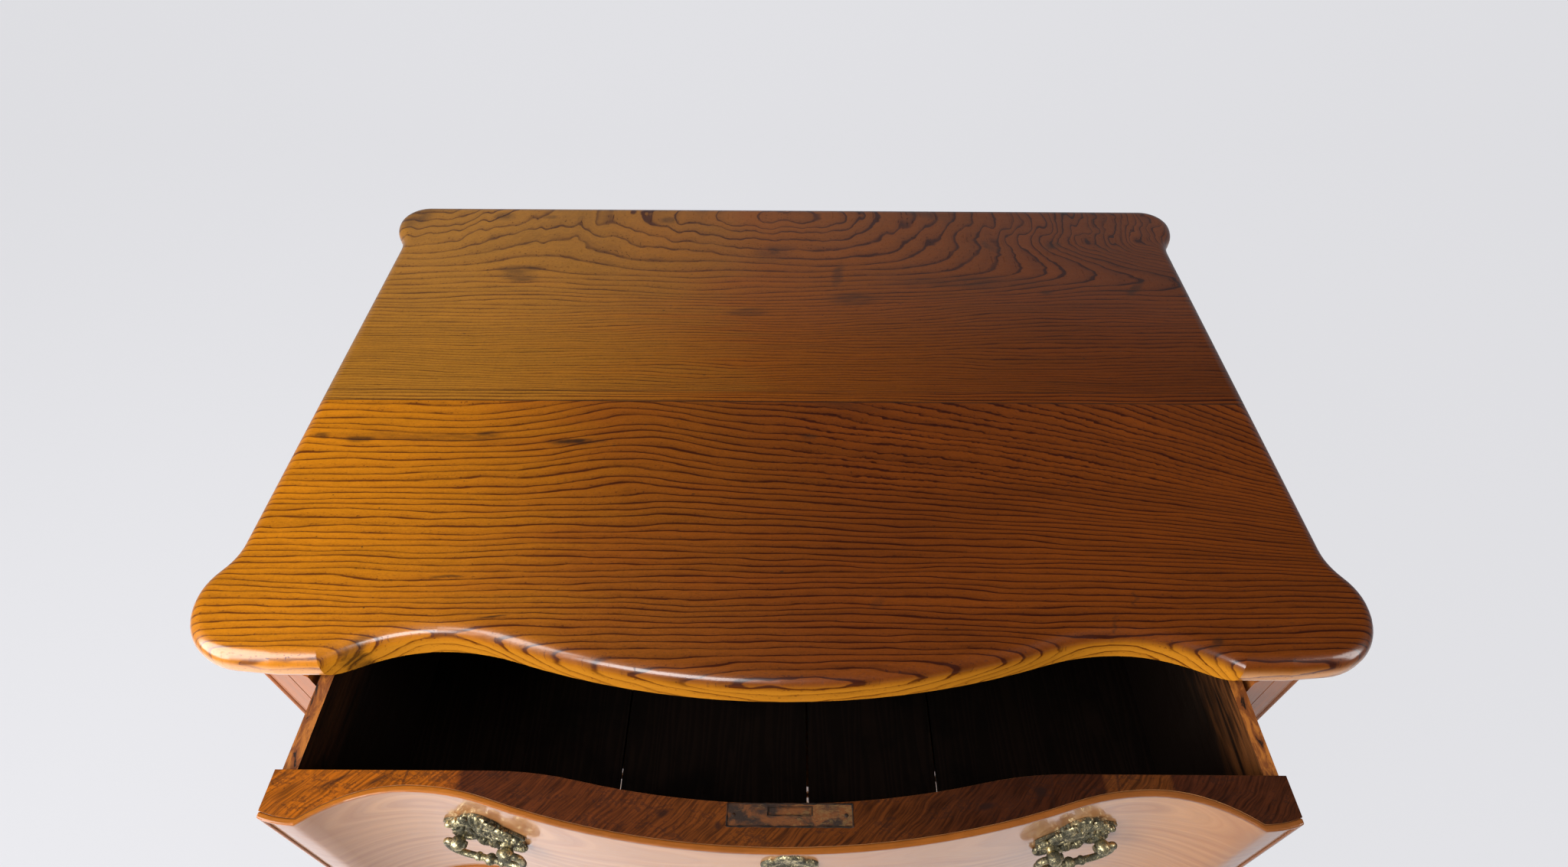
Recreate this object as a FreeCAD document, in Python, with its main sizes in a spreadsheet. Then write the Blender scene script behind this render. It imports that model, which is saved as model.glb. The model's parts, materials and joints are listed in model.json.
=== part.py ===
# Serpentine-fronted chest of three drawers: shaped three-board top, canted moulded posts,
# bracket feet, bail handles and iron drawer locks.
# Millimetres, +Z up, the front faces -Y. The origin is on the floor, midway between the
# farthest front and back points, with the top drawer pulled out as it rests.
import FreeCAD, Part
import math
import os
import re
from types import SimpleNamespace

V = FreeCAD.Vector

# Driving sizes. Depths are counted backwards from the middle of the top's front edge.
SIZES = {
    # top
    "top_half_width": 459.5,
    "top_depth": 639,
    "top_thickness": 30,
    "top_edge_round": 13,
    "ear_under_round": 12,
    "ear_width": 67.5,
    "facet_width": 38,
    "cusp_depth": 15.5,
    "ear_reach": 16.5,
    "ear_radius": 57,
    "ear_widest": 75,
    "ear_root": 127,
    "rear_ear_reach": 17.5,
    "rear_ear_length": 89,
    "rear_ear_radius": 33,
    "strip_front": 295,
    "strip_width": 14.5,
    # serpentine line shared by the top, the rails and the drawer fronts
    "hollow_width": 84,
    "hollow_depth": 40.5,
    "nose_width": 31.5,
    "nose_depth": 17,
    "nose_fall": 5,
    # case
    "side_overhang": 19.5,
    "back_overhang": 19,
    "post_width": 67.5,
    "post_inner_depth": 18,
    "post_cant_depth": 43.5,
    "post_back": 80,
    "reed_width": 5,
    "reed_depth": 1.8,
    "post_line_width": 2,
    "post_line_depth": 1,
    "side_thickness": 18,
    "rear_post_width": 32,
    "rear_post_depth": 40,
    "back_thickness": 14,
    "back_rebate": 17,
    "back_board_gap": 1.2,
    "nail_radius": 1.6,
    "nail_head_radius": 3.4,
    "nail_head_height": 1.2,
    "nail_length": 30,
    "foot_height": 105,
    "base_rail_height": 45,
    "opening_height": 197,
    "rail_thickness": 18,
    "rail_width": 85.5,
    "rail_setback": 4.5,
    "case_bottom_thickness": 14,
    "runner_inset": 18,
    "guide_clearance": 0.3,
    "guide_width": 18,
    "guide_height": 22,
    # base moulding and feet
    "moulding_reach": 20,
    "moulding_height": 20,
    "moulding_step": 9,
    "moulding_upper_height": 13,
    "moulding_split": 66,
    "foot_front_depth": 10,
    "foot_thickness": 26,
    "foot_reach": 12,
    "foot_front_length": 118,
    "foot_side_length": 138,
    "foot_cant": 34,
    "foot_pad_width": 46,
    "foot_lip": 16,
    "foot_curve_radius": 44,
    "foot_block": 34,
    "foot_block_bottom": 36,
    # drawers
    "top_drawer_open": 110,
    "drawer_setback": 3,
    "front_gap": 1.5,
    "end_gap": 3,
    "slide_clearance": 0.3,
    "front_thickness": 32,
    "inner_flat_depth": 54,
    "inner_bow_inset": 58,
    "side_lip": 3.5,
    "drawer_side_thickness": 11,
    "side_housing": 10,
    "side_top_drop": 5,
    "drawer_rear_gap": 12,
    "drawer_back_thickness": 12,
    "drawer_back_drop": 8,
    "bottom_thickness": 8,
    "bottom_rise": 7,
    "bottom_groove": 5,
    "bottom_gap": 2,
    "left_gap_at": -151,
    "middle_gap_at": 24,
    "right_gap_at": 145,
    "bead_height": 4,
    "bead_proud": 1.6,
    "bead_seat": 3,
    # locks
    "lock_offset": 7,
    "lock_width": 89,
    "lock_height": 58,
    "selvedge_depth": 15.5,
    "lock_plate_thickness": 2.5,
    "lock_case_width": 60,
    "lock_case_height": 46,
    "lock_case_depth": 13,
    "bolt_width": 30,
    "bolt_thickness": 4.5,
    "bolt_height": 26,
    "bolt_clearance": 0.3,
    "bolt_sink": 0.6,
    "bolt_throw": 8,
    "mortise_clearance": 1,
    "keyhole_drop": 36,
    "keyhole_radius": 3.5,
    "key_slot_width": 4.4,
    "key_slot_length": 11,
    "escutcheon_half_width": 22,
    "escutcheon_half_height": 29,
    "escutcheon_thickness": 3.5,
    # handles
    "handle_inset": 42,
    "handle_drop": 76,
    "plate_half_width": 33,
    "plate_half_height": 36,
    "plate_thickness": 2.4,
    "plate_clearance": 0.3,
    "post_spread": 20,
    "post_drop": 3,
    "stud_radius": 3.5,
    "stud_length": 14,
    "stud_root": 1,
    "eye_radius": 6,
    "bail_wire_radius": 2.6,
    "pin_clearance": 0.08,
    "bail_pin_inset": 7,
    "bail_half_width": 31,
    "bail_shoulder": 5,
    "bail_corner": 14,
    "bail_drop": 27,
    "bail_knop_radius": 4.6,
    "bail_collar_radius": 3.6,
    "bail_collar_at": 10,
}

# Places and sizes worked out from the driving ones.
PLACES = {
    "facet_end": "top_half_width - ear_width",
    "cusp_at": "facet_end - facet_width",
    "hollow_at": "cusp_at - hollow_width",
    "rear_ear_root": "top_depth - rear_ear_length",
    "case_half_width": "top_half_width - side_overhang",
    "opening_half_width": "case_half_width - post_width",
    "nose_at": "opening_half_width - nose_width",
    "rail_back": "rail_setback + rail_width",
    "side_inner": "case_half_width - side_thickness",
    "case_back": "top_depth - back_overhang",
    "back_inner": "case_back - back_thickness",
    "rear_post_front": "case_back - rear_post_depth",
    "base_rail_top": "foot_height + base_rail_height",
    "level_step": "opening_height + rail_thickness",
    "underside": "base_rail_top + 3 * opening_height + 2 * rail_thickness",
    "origin_back": "(top_depth + drawer_setback - escutcheon_thickness - top_drawer_open) / 2",
    "front_half_width": "opening_half_width - end_gap",
    "front_height": "opening_height - 2 * front_gap",
    "front_top": "opening_height - front_gap",
    "drawer_side_outer": "front_half_width - side_lip",
    "drawer_side_inner": "drawer_side_outer - drawer_side_thickness",
    "drawer_inner_face": "drawer_setback + inner_flat_depth",
    "inner_bow_half": "hollow_at - inner_bow_inset",
    "drawer_rear": "back_inner - drawer_rear_gap",
    "drawer_side_top": "opening_height - side_top_drop",
    "bottom_low": "slide_clearance + bottom_rise",
    "bottom_top": "bottom_low + bottom_thickness",
    "lock_back": "drawer_setback + front_thickness",
    "bolt_back": "lock_back - lock_plate_thickness - bolt_clearance",
    "keyhole_height": "front_top - keyhole_drop",
    "mortise_depth": "bolt_throw + 2 * mortise_clearance",
    "handle_at": "hollow_at - handle_inset",
    "handle_height": "opening_height - handle_drop",
}

# Shape shares, each a part of the sizes named beside its use.
BOW_SHARE = 0.78
INNER_BOW_SHARE = 0.7
EAR_TURN_SHARE = 0.5
PLATE_SHARES = (
    (0.0, 1.0), (0.22, 0.92), (0.39, 0.72), (0.55, 0.54), (0.78, 0.47), (1.0, 0.30), (0.87, 0.08),
    (0.89, -0.12), (0.74, -0.34), (0.62, -0.52), (0.36, -0.62), (0.20, -0.82), (0.0, -1.0),
)
ESCUTCHEON_SHARES = (
    (0.0, 1.0), (0.34, 0.80), (0.50, 0.55), (0.95, 0.42), (0.88, 0.05), (0.58, -0.15),
    (0.62, -0.48), (0.30, -0.72), (0.0, -1.0),
)
NAIL_ROW_SHARES = (0.22, 0.78)
BACK_BOARDS = 4
LEVELS = ("bottom", "middle", "top")

doc = FreeCAD.newDocument("Chest")
nodes = {}


def bind(piece, prop, formula):
    # Ties a property to the sheet: each plain word becomes the cell or place of that name.
    def full_name(match):
        word = match.group(0)
        return ("Sizes." if word in SIZES else "Places.") + word
    piece.setExpression(prop, re.sub(r"[a-z][a-z_]+", full_name, formula))


def fill_sheet():
    sheet = doc.addObject("Spreadsheet::Sheet", "Sizes")
    for row, (name, value) in enumerate(SIZES.items(), 1):
        sheet.set(f"A{row}", name)
        sheet.set(f"B{row}", str(value))
        sheet.setAlias(f"B{row}", name)
    doc.recompute()
    places = doc.addObject("App::FeaturePython", "Places")
    for name, formula in PLACES.items():
        places.addProperty("App::PropertyFloat", name)
        bind(places, name, formula)
    doc.recompute()
    read = {name: float(sheet.get(name)) for name in SIZES}
    read.update({name: float(getattr(places, name)) for name in PLACES})
    return SimpleNamespace(**read)


# Plane curves
def closed_spline(points):
    curve = Part.BSplineCurve()
    curve.interpolate(Points=[V(x, y, 0) for x, y in points], PeriodicFlag=True)
    return curve


def lines(points):
    return [Part.LineSegment(V(*a, 0), V(*b, 0)) for a, b in zip(points, points[1:])]


def mirrored_points(points):
    return [(-x, y) for x, y in reversed(points)]


def arc_about(centre, start, end):
    # The shorter arc from start to end about a centre.
    middle = V(*start, 0) + V(*end, 0) - V(*centre, 0) * 2
    reach = V(start[0] - centre[0], start[1] - centre[1], 0).Length
    return Part.Arc(V(*start, 0), V(*centre, 0) + middle.normalize() * reach, V(*end, 0))


def arc_leaving(start, end, level):
    # An arc that leaves its start level with X, or else square to it, and runs to its end.
    across, up = end[0] - start[0], end[1] - start[1]
    radius = (across ** 2 + up ** 2) / 2 / (up if level else across)
    centre = (start[0], start[1] + radius) if level else (start[0] + radius, start[1])
    return arc_about(centre, start, end)


def s_curve(start, end, share, level=True):
    # Two arcs that leave both ends the same way and meet at a share of the line between them.
    meet = tuple(a + share * (b - a) for a, b in zip(start, end))
    return [arc_leaving(start, meet, level), arc_leaving(end, meet, level)]


def serpentine(shift, end_at, end_depth):
    # The front line from one end to the other: bowed in the middle, hollow towards the ends.
    curves = []
    for side in (-1, 1):
        hollow = (side * d.hollow_at, d.hollow_depth + shift)
        curves += s_curve((0, shift), hollow, BOW_SHARE)
        curves.append(arc_leaving(hollow, (side * end_at, end_depth + shift), True))
    return curves, (-end_at, end_depth + shift), (end_at, end_depth + shift)


def face_line(shift, half):
    # The serpentine, and beyond each nose an arc that falls back to the half width.
    curves, left, right = serpentine(shift, d.nose_at, d.nose_depth)
    depth = d.nose_depth + d.nose_fall + shift
    low, high = (-half, depth), (half, depth)
    return curves + [arc_leaving(left, low, True), arc_leaving(right, high, True)], low, high


def inner_line(shift, half):
    # The inner face of a drawer front: flat at the ends, bowed forward in the middle.
    flat = d.inner_flat_depth + shift
    curves = []
    for side in (-1, 1):
        bow = (side * d.inner_bow_half, flat)
        curves += s_curve((0, d.front_thickness + shift), bow, INNER_BOW_SHARE)
        curves += lines([bow, (side * half, flat)])
    return curves, (half, flat), (-half, flat)


# Pieces
def prism(label, curves, height, plane="XY_Plane"):
    # A padded outline, its length tied to the sheet.
    body = doc.addObject("PartDesign::Body", label)
    body.Label = label
    sketch = body.newObject("Sketcher::SketchObject", label + "_outline")
    origin_plane = next(part for part in body.Origin.OriginFeatures if part.Role == plane)
    sketch.AttachmentSupport = [(origin_plane, "")]
    sketch.MapMode = "FlatFace"
    for curve in curves:
        sketch.addGeometry(curve, False)
    pad = body.newObject("PartDesign::Pad", label + "_pad")
    pad.Profile = sketch
    bind(pad, "Length", height)
    return body


def board(label, x, y, z):
    # A plain board between a low and a high formula along each axis.
    piece = doc.addObject("Part::Box", label)
    piece.Label = label
    for prop, axis, (low, high) in zip(("Length", "Width", "Height"), "xyz", (x, y, z)):
        bind(piece, prop, f"({high}) - ({low})")
        bind(piece, f"Placement.Base.{axis}", low)
    return piece


def rod(label, radius, length, x, y, z, direction=None):
    piece = doc.addObject("Part::Cylinder", label)
    bind(piece, "Radius", radius)
    bind(piece, "Height", length)
    if direction is not None:
        piece.Placement = FreeCAD.Placement(V(), FreeCAD.Rotation(V(0, 0, 1), direction))
    for axis, formula in zip("xyz", (x, y, z)):
        bind(piece, f"Placement.Base.{axis}", formula)
    return piece


def group(label, pieces):
    compound = doc.addObject("Part::Compound", label)
    compound.Label = label
    compound.Links = pieces
    return compound


def joined(label, pieces):
    fuse = doc.addObject("Part::MultiFuse", label)
    fuse.Label = label
    fuse.Shapes = pieces
    return fuse


def cut(label, base, tools):
    result = doc.addObject("Part::Cut", label)
    result.Label = label
    result.Base = base
    result.Tool = tools[0] if len(tools) == 1 else joined(label + "_tools", tools)
    return result


def common(label, base, tool):
    result = doc.addObject("Part::Common", label)
    result.Label = label
    result.Base = base
    result.Tool = tool
    return result


def mirror(label, source, normal=V(1, 0, 0), middle=None):
    result = doc.addObject("Part::Mirroring", label)
    result.Label = label
    result.Source = source
    result.Normal = normal
    if middle:
        bind(result, "Base.y", middle)
    return result


def moulded(label, shape):
    # A piece whose shape follows a curved face.
    piece = doc.addObject("Part::Feature", label)
    piece.Label = label
    piece.Shape = shape
    return piece


def node(name, pieces, back="0", up="0"):
    # The finished sub-part: its pieces as one group, set in the chest's own frame.
    whole = group(name, pieces)
    bind(whole, "Placement.Base.y", f"({back}) - origin_back")
    bind(whole, "Placement.Base.z", up)
    nodes[name] = whole
    return whole


# Top
def ear_outline(side):
    # From the facet round the front ear, along the side and round the rear ear.
    facet = V(d.facet_end, d.cusp_depth, 0)
    reach = d.top_half_width + d.ear_reach
    centre = V(reach - d.ear_radius, d.ear_widest, 0)
    to_facet = facet - centre
    turn = math.acos(d.ear_radius / to_facet.Length)
    heading = math.atan2(to_facet.y, to_facet.x) + turn
    touch = centre + V(math.cos(heading), math.sin(heading), 0) * d.ear_radius
    rear_reach = d.top_half_width + d.rear_ear_reach
    rear_widest = d.top_depth - d.rear_ear_radius
    corner = (rear_reach - d.rear_ear_radius, d.top_depth)

    def flip(x, y):
        return (side * x, y)

    ear_end = flip(reach, d.ear_widest)
    root = flip(d.top_half_width, d.ear_root)
    rear_root = flip(d.top_half_width, d.rear_ear_root)
    rear_end = flip(rear_reach, rear_widest)
    curves = lines([flip(d.cusp_at, d.cusp_depth), flip(facet.x, facet.y)])
    curves += lines([flip(facet.x, facet.y), flip(touch.x, touch.y)])
    curves.append(arc_about(flip(centre.x, centre.y), flip(touch.x, touch.y), ear_end))
    curves += s_curve(ear_end, root, EAR_TURN_SHARE, False)
    curves += lines([root, rear_root])
    curves += s_curve(rear_root, rear_end, EAR_TURN_SHARE, False)
    curves.append(arc_about(flip(corner[0], rear_widest), rear_end, flip(*corner)))
    return curves, flip(*corner)


def top_outline():
    front = serpentine(0, d.cusp_at, d.cusp_depth)[0]
    left, left_corner = ear_outline(-1)
    right, right_corner = ear_outline(1)
    return front + left + right + lines([left_corner, right_corner])


def upper_edges(shape):
    # The upper edges that are rounded over: all but the two flat facets at the cusps.
    names = []
    for number, edge in enumerate(shape.Edges, 1):
        box = edge.BoundBox
        upper = box.ZMin > d.top_thickness / 2
        middle = abs(edge.CenterOfMass.x)
        at_front = box.YMax < d.ear_widest
        facet = box.YLength < d.reed_depth and d.cusp_at < middle < d.facet_end
        if upper and not (facet and at_front):
            names.append(f"Edge{number}")
    return names


def ear_under_edges(shape):
    # The lower edges from each facet round the ears and along the sides.
    return [f"Edge{number}" for number, edge in enumerate(shape.Edges, 1)
            if edge.BoundBox.ZMax < d.top_thickness / 2 and abs(edge.CenterOfMass.x) > d.facet_end]


def rounded(blank, label, edges, radius):
    base = blank.Tip
    rounding = blank.newObject("PartDesign::Fillet", label)
    rounding.Base = (base, edges(base.Shape))
    bind(rounding, "Radius", radius)
    doc.recompute()


def make_top():
    blank = prism("top_blank", top_outline(), "top_thickness")
    doc.recompute()
    rounded(blank, "top_rounding", upper_edges, "top_edge_round")
    rounded(blank, "ear_rounding", ear_under_edges, "ear_under_round")
    across = ("-top_half_width - ear_reach", "top_half_width + ear_reach")
    thick = ("0", "top_thickness")
    strip_back = "strip_front + strip_width"
    rows = (("top_front_board", ("0", "strip_front")),
            ("top_joint_strip", ("strip_front", strip_back)),
            ("top_rear_board", (strip_back, "top_depth")))
    for name, depth in rows:
        piece = common(name + "_cut", blank, board(name + "_part", across, depth, thick))
        if name == "top_front_board":
            piece = cut(name + "_mortised", piece, [bolt_mortise(name, "-opening_height")])
        node(name, [piece], up="underside")


def bolt_mortise(label, lift):
    # The hole that a raised lock bolt enters, above the opening of its drawer.
    wide = "bolt_width / 2 + mortise_clearance"
    return board(label + "_mortise",
                 (f"lock_offset - ({wide})", f"lock_offset + {wide}"),
                 ("bolt_back - bolt_thickness - mortise_clearance", "bolt_back + mortise_clearance"),
                 (f"opening_height + ({lift})", f"opening_height + mortise_depth + ({lift})"))


# Case
def post_outline():
    # The post seen from above: a canted face with a fine line and three reeds at its outer edge.
    inner = V(d.opening_half_width, d.post_inner_depth, 0)
    outer = V(d.case_half_width, d.post_cant_depth, 0)
    along = (outer - inner).normalize()
    into = V(-along.y, along.x, 0)
    width = (outer - inner).Length

    def on_face(distance, depth):
        point = inner + along * distance + into * depth
        return (point.x, point.y)

    def arc(start, middle, end):
        return Part.Arc(V(*start, 0), V(*middle, 0), V(*end, 0))

    w = d.reed_width
    reeds = width - 3 * w
    line_at = reeds / 2
    face = [on_face(0, 0), on_face(line_at - d.post_line_width / 2, 0),
            on_face(line_at, d.post_line_depth), on_face(line_at + d.post_line_width / 2, 0),
            on_face(reeds, 0), on_face(reeds, d.reed_depth)]
    curves = lines(face)
    for step, rise in enumerate((0, 2 * d.reed_depth, 0)):
        start = reeds + step * w
        curves.append(arc(on_face(start, d.reed_depth), on_face(start + w / 2, rise),
                          on_face(start + w, d.reed_depth)))
    rest = [on_face(width, d.reed_depth), (d.case_half_width, d.post_cant_depth + 2 * d.reed_depth),
            (d.case_half_width, d.post_back), (d.opening_half_width, d.post_back), face[0]]
    return curves + lines(rest)


def make_posts():
    post = prism("front_post", post_outline(), "underside - foot_height")
    right = node("right_front_post", [post], up="foot_height")
    nodes["left_front_post"] = mirror("left_front_post", right)
    tall = ("foot_height", "underside")
    blank = board("rear_post_blank", ("case_half_width - rear_post_width", "case_half_width"),
                  ("rear_post_front", "case_back"), tall)
    rebate = board("rear_post_rebate",
                   ("case_half_width - rear_post_width", "case_half_width - back_rebate"),
                   ("back_inner", "case_back"), tall)
    rear = cut("rear_post", blank, [rebate] + back_nails("rear_post_nail"))
    right = node("right_rear_post", [rear])
    nodes["left_rear_post"] = mirror("left_rear_post", right)


def make_sides():
    panel = board("side", ("side_inner", "case_half_width"), ("post_back", "rear_post_front"),
                  ("foot_height", "underside"))
    right = node("right_side_panel", [panel])
    nodes["left_side_panel"] = mirror("left_side_panel", right)


def board_height():
    return f"((underside - foot_height) / {BACK_BOARDS})"


def back_nails(label):
    # The right column of nails, as shank and rose head, two to a board.
    pieces = []
    for row in range(BACK_BOARDS):
        for place, share in enumerate(NAIL_ROW_SHARES):
            name = f"{label}_{row}_{place}"
            where = ("case_half_width - (rear_post_width + back_rebate) / 2", "case_back",
                     f"foot_height + {board_height()} * {row + share}")
            shank = rod(name + "_shank", "nail_radius", "nail_length", *where, V(0, -1, 0))
            head = rod(name + "_head", "nail_head_radius", "nail_head_height", *where, V(0, 1, 0))
            pieces.append(joined(name, [shank, head]))
    return pieces


def make_back():
    half = "case_half_width - back_rebate"
    boards = []
    for row in range(BACK_BOARDS):
        low = f"foot_height + {board_height()} * {row} + back_board_gap / 2"
        high = f"foot_height + {board_height()} * {row + 1} - back_board_gap / 2"
        boards.append(board(f"back_board_{row}", (f"-({half})", half),
                            ("back_inner", "case_back"), (low, high)))
    right = back_nails("back_nail")
    nails = right + [mirror(nail.Label + "_left", nail) for nail in right]
    pierced = cut("back_pierced", group("back_blank", boards), nails)
    node("back_boards", [pierced])
    node("back_nails", nails)


def rail_outline():
    front, left, right = face_line(d.rail_setback, d.opening_half_width)
    return front + lines([right, (right[0], d.rail_back), (left[0], d.rail_back), left])


def make_rails():
    base = prism("base_rail_solid", rail_outline(), "base_rail_height")
    node("base_rail", [base], up="foot_height")
    for level, name in ((1, "lower_rail"), (2, "upper_rail")):
        blank = prism(name + "_blank", rail_outline(), "rail_thickness")
        solid = cut(name + "_solid", blank, [bolt_mortise(name, "-opening_height")])
        node(name, [solid], up=f"base_rail_top + {level} * level_step - rail_thickness")


def level_base(level):
    return f"(base_rail_top + {level} * level_step)"


def make_runners():
    runners = []
    guides = []
    deep = ("rail_back", "rear_post_front")
    for level, name in enumerate(LEVELS):
        floor = level_base(level)
        runner = board(name + "_runner", ("drawer_side_inner - runner_inset", "side_inner"), deep,
                       (f"{floor} - rail_thickness", floor))
        low = "drawer_side_outer + guide_clearance"
        guide = board(name + "_guide", (low, f"{low} + guide_width"), deep,
                      (floor, f"{floor} + guide_height"))
        runners += [runner, mirror(name + "_runner_left", runner)]
        guides += [guide, mirror(name + "_guide_left", guide)]
    node("drawer_runners", runners)
    node("drawer_guides", guides)


def make_case_bottom():
    floor = board("case_floor", ("-side_inner", "side_inner"), ("rail_back", "rear_post_front"),
                  ("foot_height", "foot_height + case_bottom_thickness"))
    node("case_bottom", [floor])


# Base moulding and feet
def moulding_outline(reach):
    split = d.moulding_split
    wide = d.case_half_width + reach
    outer, left, right = face_line(d.rail_setback - reach, d.opening_half_width)
    inner, inner_left, inner_right = face_line(d.rail_setback, d.opening_half_width)
    cant = d.post_cant_depth - reach / 2
    seat = [(d.case_half_width, split), (d.case_half_width, d.post_cant_depth),
            (d.opening_half_width, d.post_inner_depth), inner_right]
    return (outer + lines([right, (wide, cant), (wide, split)] + seat) + inner
            + lines([inner_left] + mirrored_points(seat)[1:] + [(-wide, split), (-wide, cant), left]))


def make_mouldings():
    lower = prism("front_moulding_lower", moulding_outline(d.moulding_reach), "moulding_height")
    upper = prism("front_moulding_upper", moulding_outline(d.moulding_reach - d.moulding_step),
                  "moulding_height + moulding_upper_height")
    node("front_base_moulding", [joined("front_moulding", [lower, upper])], up="foot_height")
    deep = ("moulding_split", "case_back")
    low = board("side_moulding_lower", ("case_half_width", "case_half_width + moulding_reach"),
                deep, ("0", "moulding_height"))
    high = board("side_moulding_upper",
                 ("case_half_width", "case_half_width + moulding_reach - moulding_step"),
                 deep, ("0", "moulding_height + moulding_upper_height"))
    right = joined("side_moulding", [low, high])
    node("side_base_mouldings", [right, mirror("side_moulding_left", right)], up="foot_height")


def foot_profile(root, tip, outer):
    # A bracket seen square on: a short step under the case, then a hollow down to its pad.
    side = 1 if outer > root else -1
    ledge = d.foot_height - d.foot_lip
    bend = d.foot_curve_radius
    hollow = [(tip - side * bend, ledge), (tip, ledge - bend)]
    points = [hollow[1], (tip, 0), (outer, 0), (outer, d.foot_height), (root, d.foot_height),
              (root, ledge), hollow[0]]
    return lines(points) + [arc_about((tip - side * bend, ledge - bend), *hollow)]


def make_feet():
    front = d.foot_front_depth
    outer = d.case_half_width + d.foot_reach
    inner = outer - d.foot_thickness
    back = front + d.foot_thickness
    root = outer - d.foot_front_length
    side_end = front + d.foot_side_length
    plan = [(root, front), (outer - d.foot_cant, front), (outer, front + d.foot_cant),
            (outer, side_end), (inner, side_end), (inner, back), (root, back), (root, front)]
    block = prism("foot_plan", lines(plan), "foot_height")
    across = prism("foot_across", foot_profile(root, outer - d.foot_pad_width, outer),
                   "foot_front_depth + foot_pad_width", "XZ_Plane")
    bind(across, "Placement.Base.y", "foot_front_depth + foot_pad_width")
    along = prism("foot_along", foot_profile(side_end, front + d.foot_pad_width, front),
                  "foot_pad_width", "YZ_Plane")
    bind(along, "Placement.Base.x", "case_half_width + foot_reach - foot_pad_width")
    foot = common("foot", block, joined("foot_faces", [across, along]))
    right = node("right_front_foot", [foot])
    nodes["left_front_foot"] = mirror("left_front_foot", right)
    centre = "(foot_front_depth + case_back) / 2"
    rear = mirror("rear_foot", foot, V(0, 1, 0), centre)
    right = node("right_rear_foot", [rear])
    nodes["left_rear_foot"] = mirror("left_rear_foot", right)
    corner = "case_half_width + foot_reach - foot_thickness"
    depth = "foot_front_depth + foot_thickness"
    glue = board("foot_glue_block", (f"{corner} - foot_block", corner),
                 (depth, f"{depth} + foot_block"), ("foot_block_bottom", "foot_height"))
    rights = [glue, mirror("foot_glue_block_rear", glue, V(0, 1, 0), centre)]
    node("foot_blocks", rights + [mirror(piece.Label + "_left", piece) for piece in rights])


# Drawers
def beading(name):
    # Four thin strips let into the edges of a drawer front, standing a little proud of it.
    outer, left, right = face_line(d.drawer_setback - d.bead_proud, d.front_half_width)
    inner, inner_left, inner_right = face_line(d.drawer_setback + d.bead_seat, d.front_half_width)
    curves = outer + lines([right, inner_right]) + inner + lines([inner_left, left])

    def strip(label, low, height):
        piece = prism(f"{name}_{label}", curves, height)
        bind(piece, "Placement.Base.z", low)
        return piece

    above_low = "front_gap + bead_height"
    tall = "front_height - 2 * bead_height"
    upright = board(name + "_end_zone", ("front_half_width - bead_height", "front_half_width"),
                    ("0", "drawer_inner_face"), (above_low, f"{above_low} + {tall}"))
    end = common(name + "_end_bead", strip("end_strip", above_low, tall), upright)
    return [strip("top_bead", "front_top - bead_height", "bead_height"),
            strip("low_bead", "front_gap", "bead_height"), end, mirror(name + "_end_bead_left", end)]


def lock_blocks(name, inset):
    # The lock's outer form, or with an inset the hollow inside its case.
    half = "lock_width / 2"
    case_half = f"(lock_case_width / 2 - {inset})"
    across = (f"lock_offset - {case_half}", f"lock_offset + {case_half}")
    floor = f"front_top - lock_plate_thickness - lock_case_height + {inset}"
    roof = "front_top - lock_plate_thickness"
    front = f"lock_back - lock_case_depth + {inset}"
    case = board(name + "_case", across, (front, "lock_back - lock_plate_thickness"), (floor, roof))
    if inset != "0":
        return [case]
    wide = (f"lock_offset - {half}", f"lock_offset + {half}")
    edge = board(name + "_edge", wide, ("lock_back - selvedge_depth", "lock_back"),
                 (roof, "front_top"))
    back = board(name + "_back", wide, ("lock_back - lock_plate_thickness", "lock_back"),
                 ("front_top - lock_height", roof))
    return [case, edge, back]


def keyhole(name):
    # The round hole and the slot below it, from the front face into the lock's case.
    pipe = rod(name + "_hole", "keyhole_radius", "lock_back - lock_plate_thickness + bead_proud",
               "lock_offset", "-bead_proud", "keyhole_height", V(0, 1, 0))
    slot = board(name + "_slot",
                 ("lock_offset - key_slot_width / 2", "lock_offset + key_slot_width / 2"),
                 ("-bead_proud", "lock_back - lock_plate_thickness"),
                 ("keyhole_height - key_slot_length", "keyhole_height"))
    return [pipe, slot]


def make_lock(name, place):
    outer = joined(name + "_lock_outer", lock_blocks(name + "_lock", "0"))
    hollow = lock_blocks(name + "_lock_hollow", "lock_plate_thickness")
    wide = "(bolt_width / 2 + bolt_clearance)"
    slot = board(name + "_bolt_slot", (f"lock_offset - {wide}", f"lock_offset + {wide}"),
                 ("bolt_back - bolt_thickness - bolt_clearance", "bolt_back + bolt_clearance"),
                 ("front_top - 2 * lock_plate_thickness", "front_top"))
    lock = cut(name + "_lock_solid", outer, hollow + [slot] + keyhole(name + "_lock_key"))
    node(name + "_drawer_lock", [lock], *place)
    bolt = board(name + "_bolt", ("lock_offset - bolt_width / 2", "lock_offset + bolt_width / 2"),
                 ("bolt_back - bolt_thickness", "bolt_back"),
                 ("front_top - bolt_sink - bolt_height", "front_top - bolt_sink"))
    node(name + "_lock_bolt", [bolt], *place)


def bottom_panel(name):
    half = d.drawer_side_inner + d.bottom_groove
    front, right, left = inner_line(d.drawer_setback - d.bottom_groove, half)
    curves = front + lines([left, (left[0], d.drawer_rear), (right[0], d.drawer_rear), right])
    panel = prism(name + "_bottom_panel", curves, "bottom_thickness")
    bind(panel, "Placement.Base.z", "bottom_low")
    return panel


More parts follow.
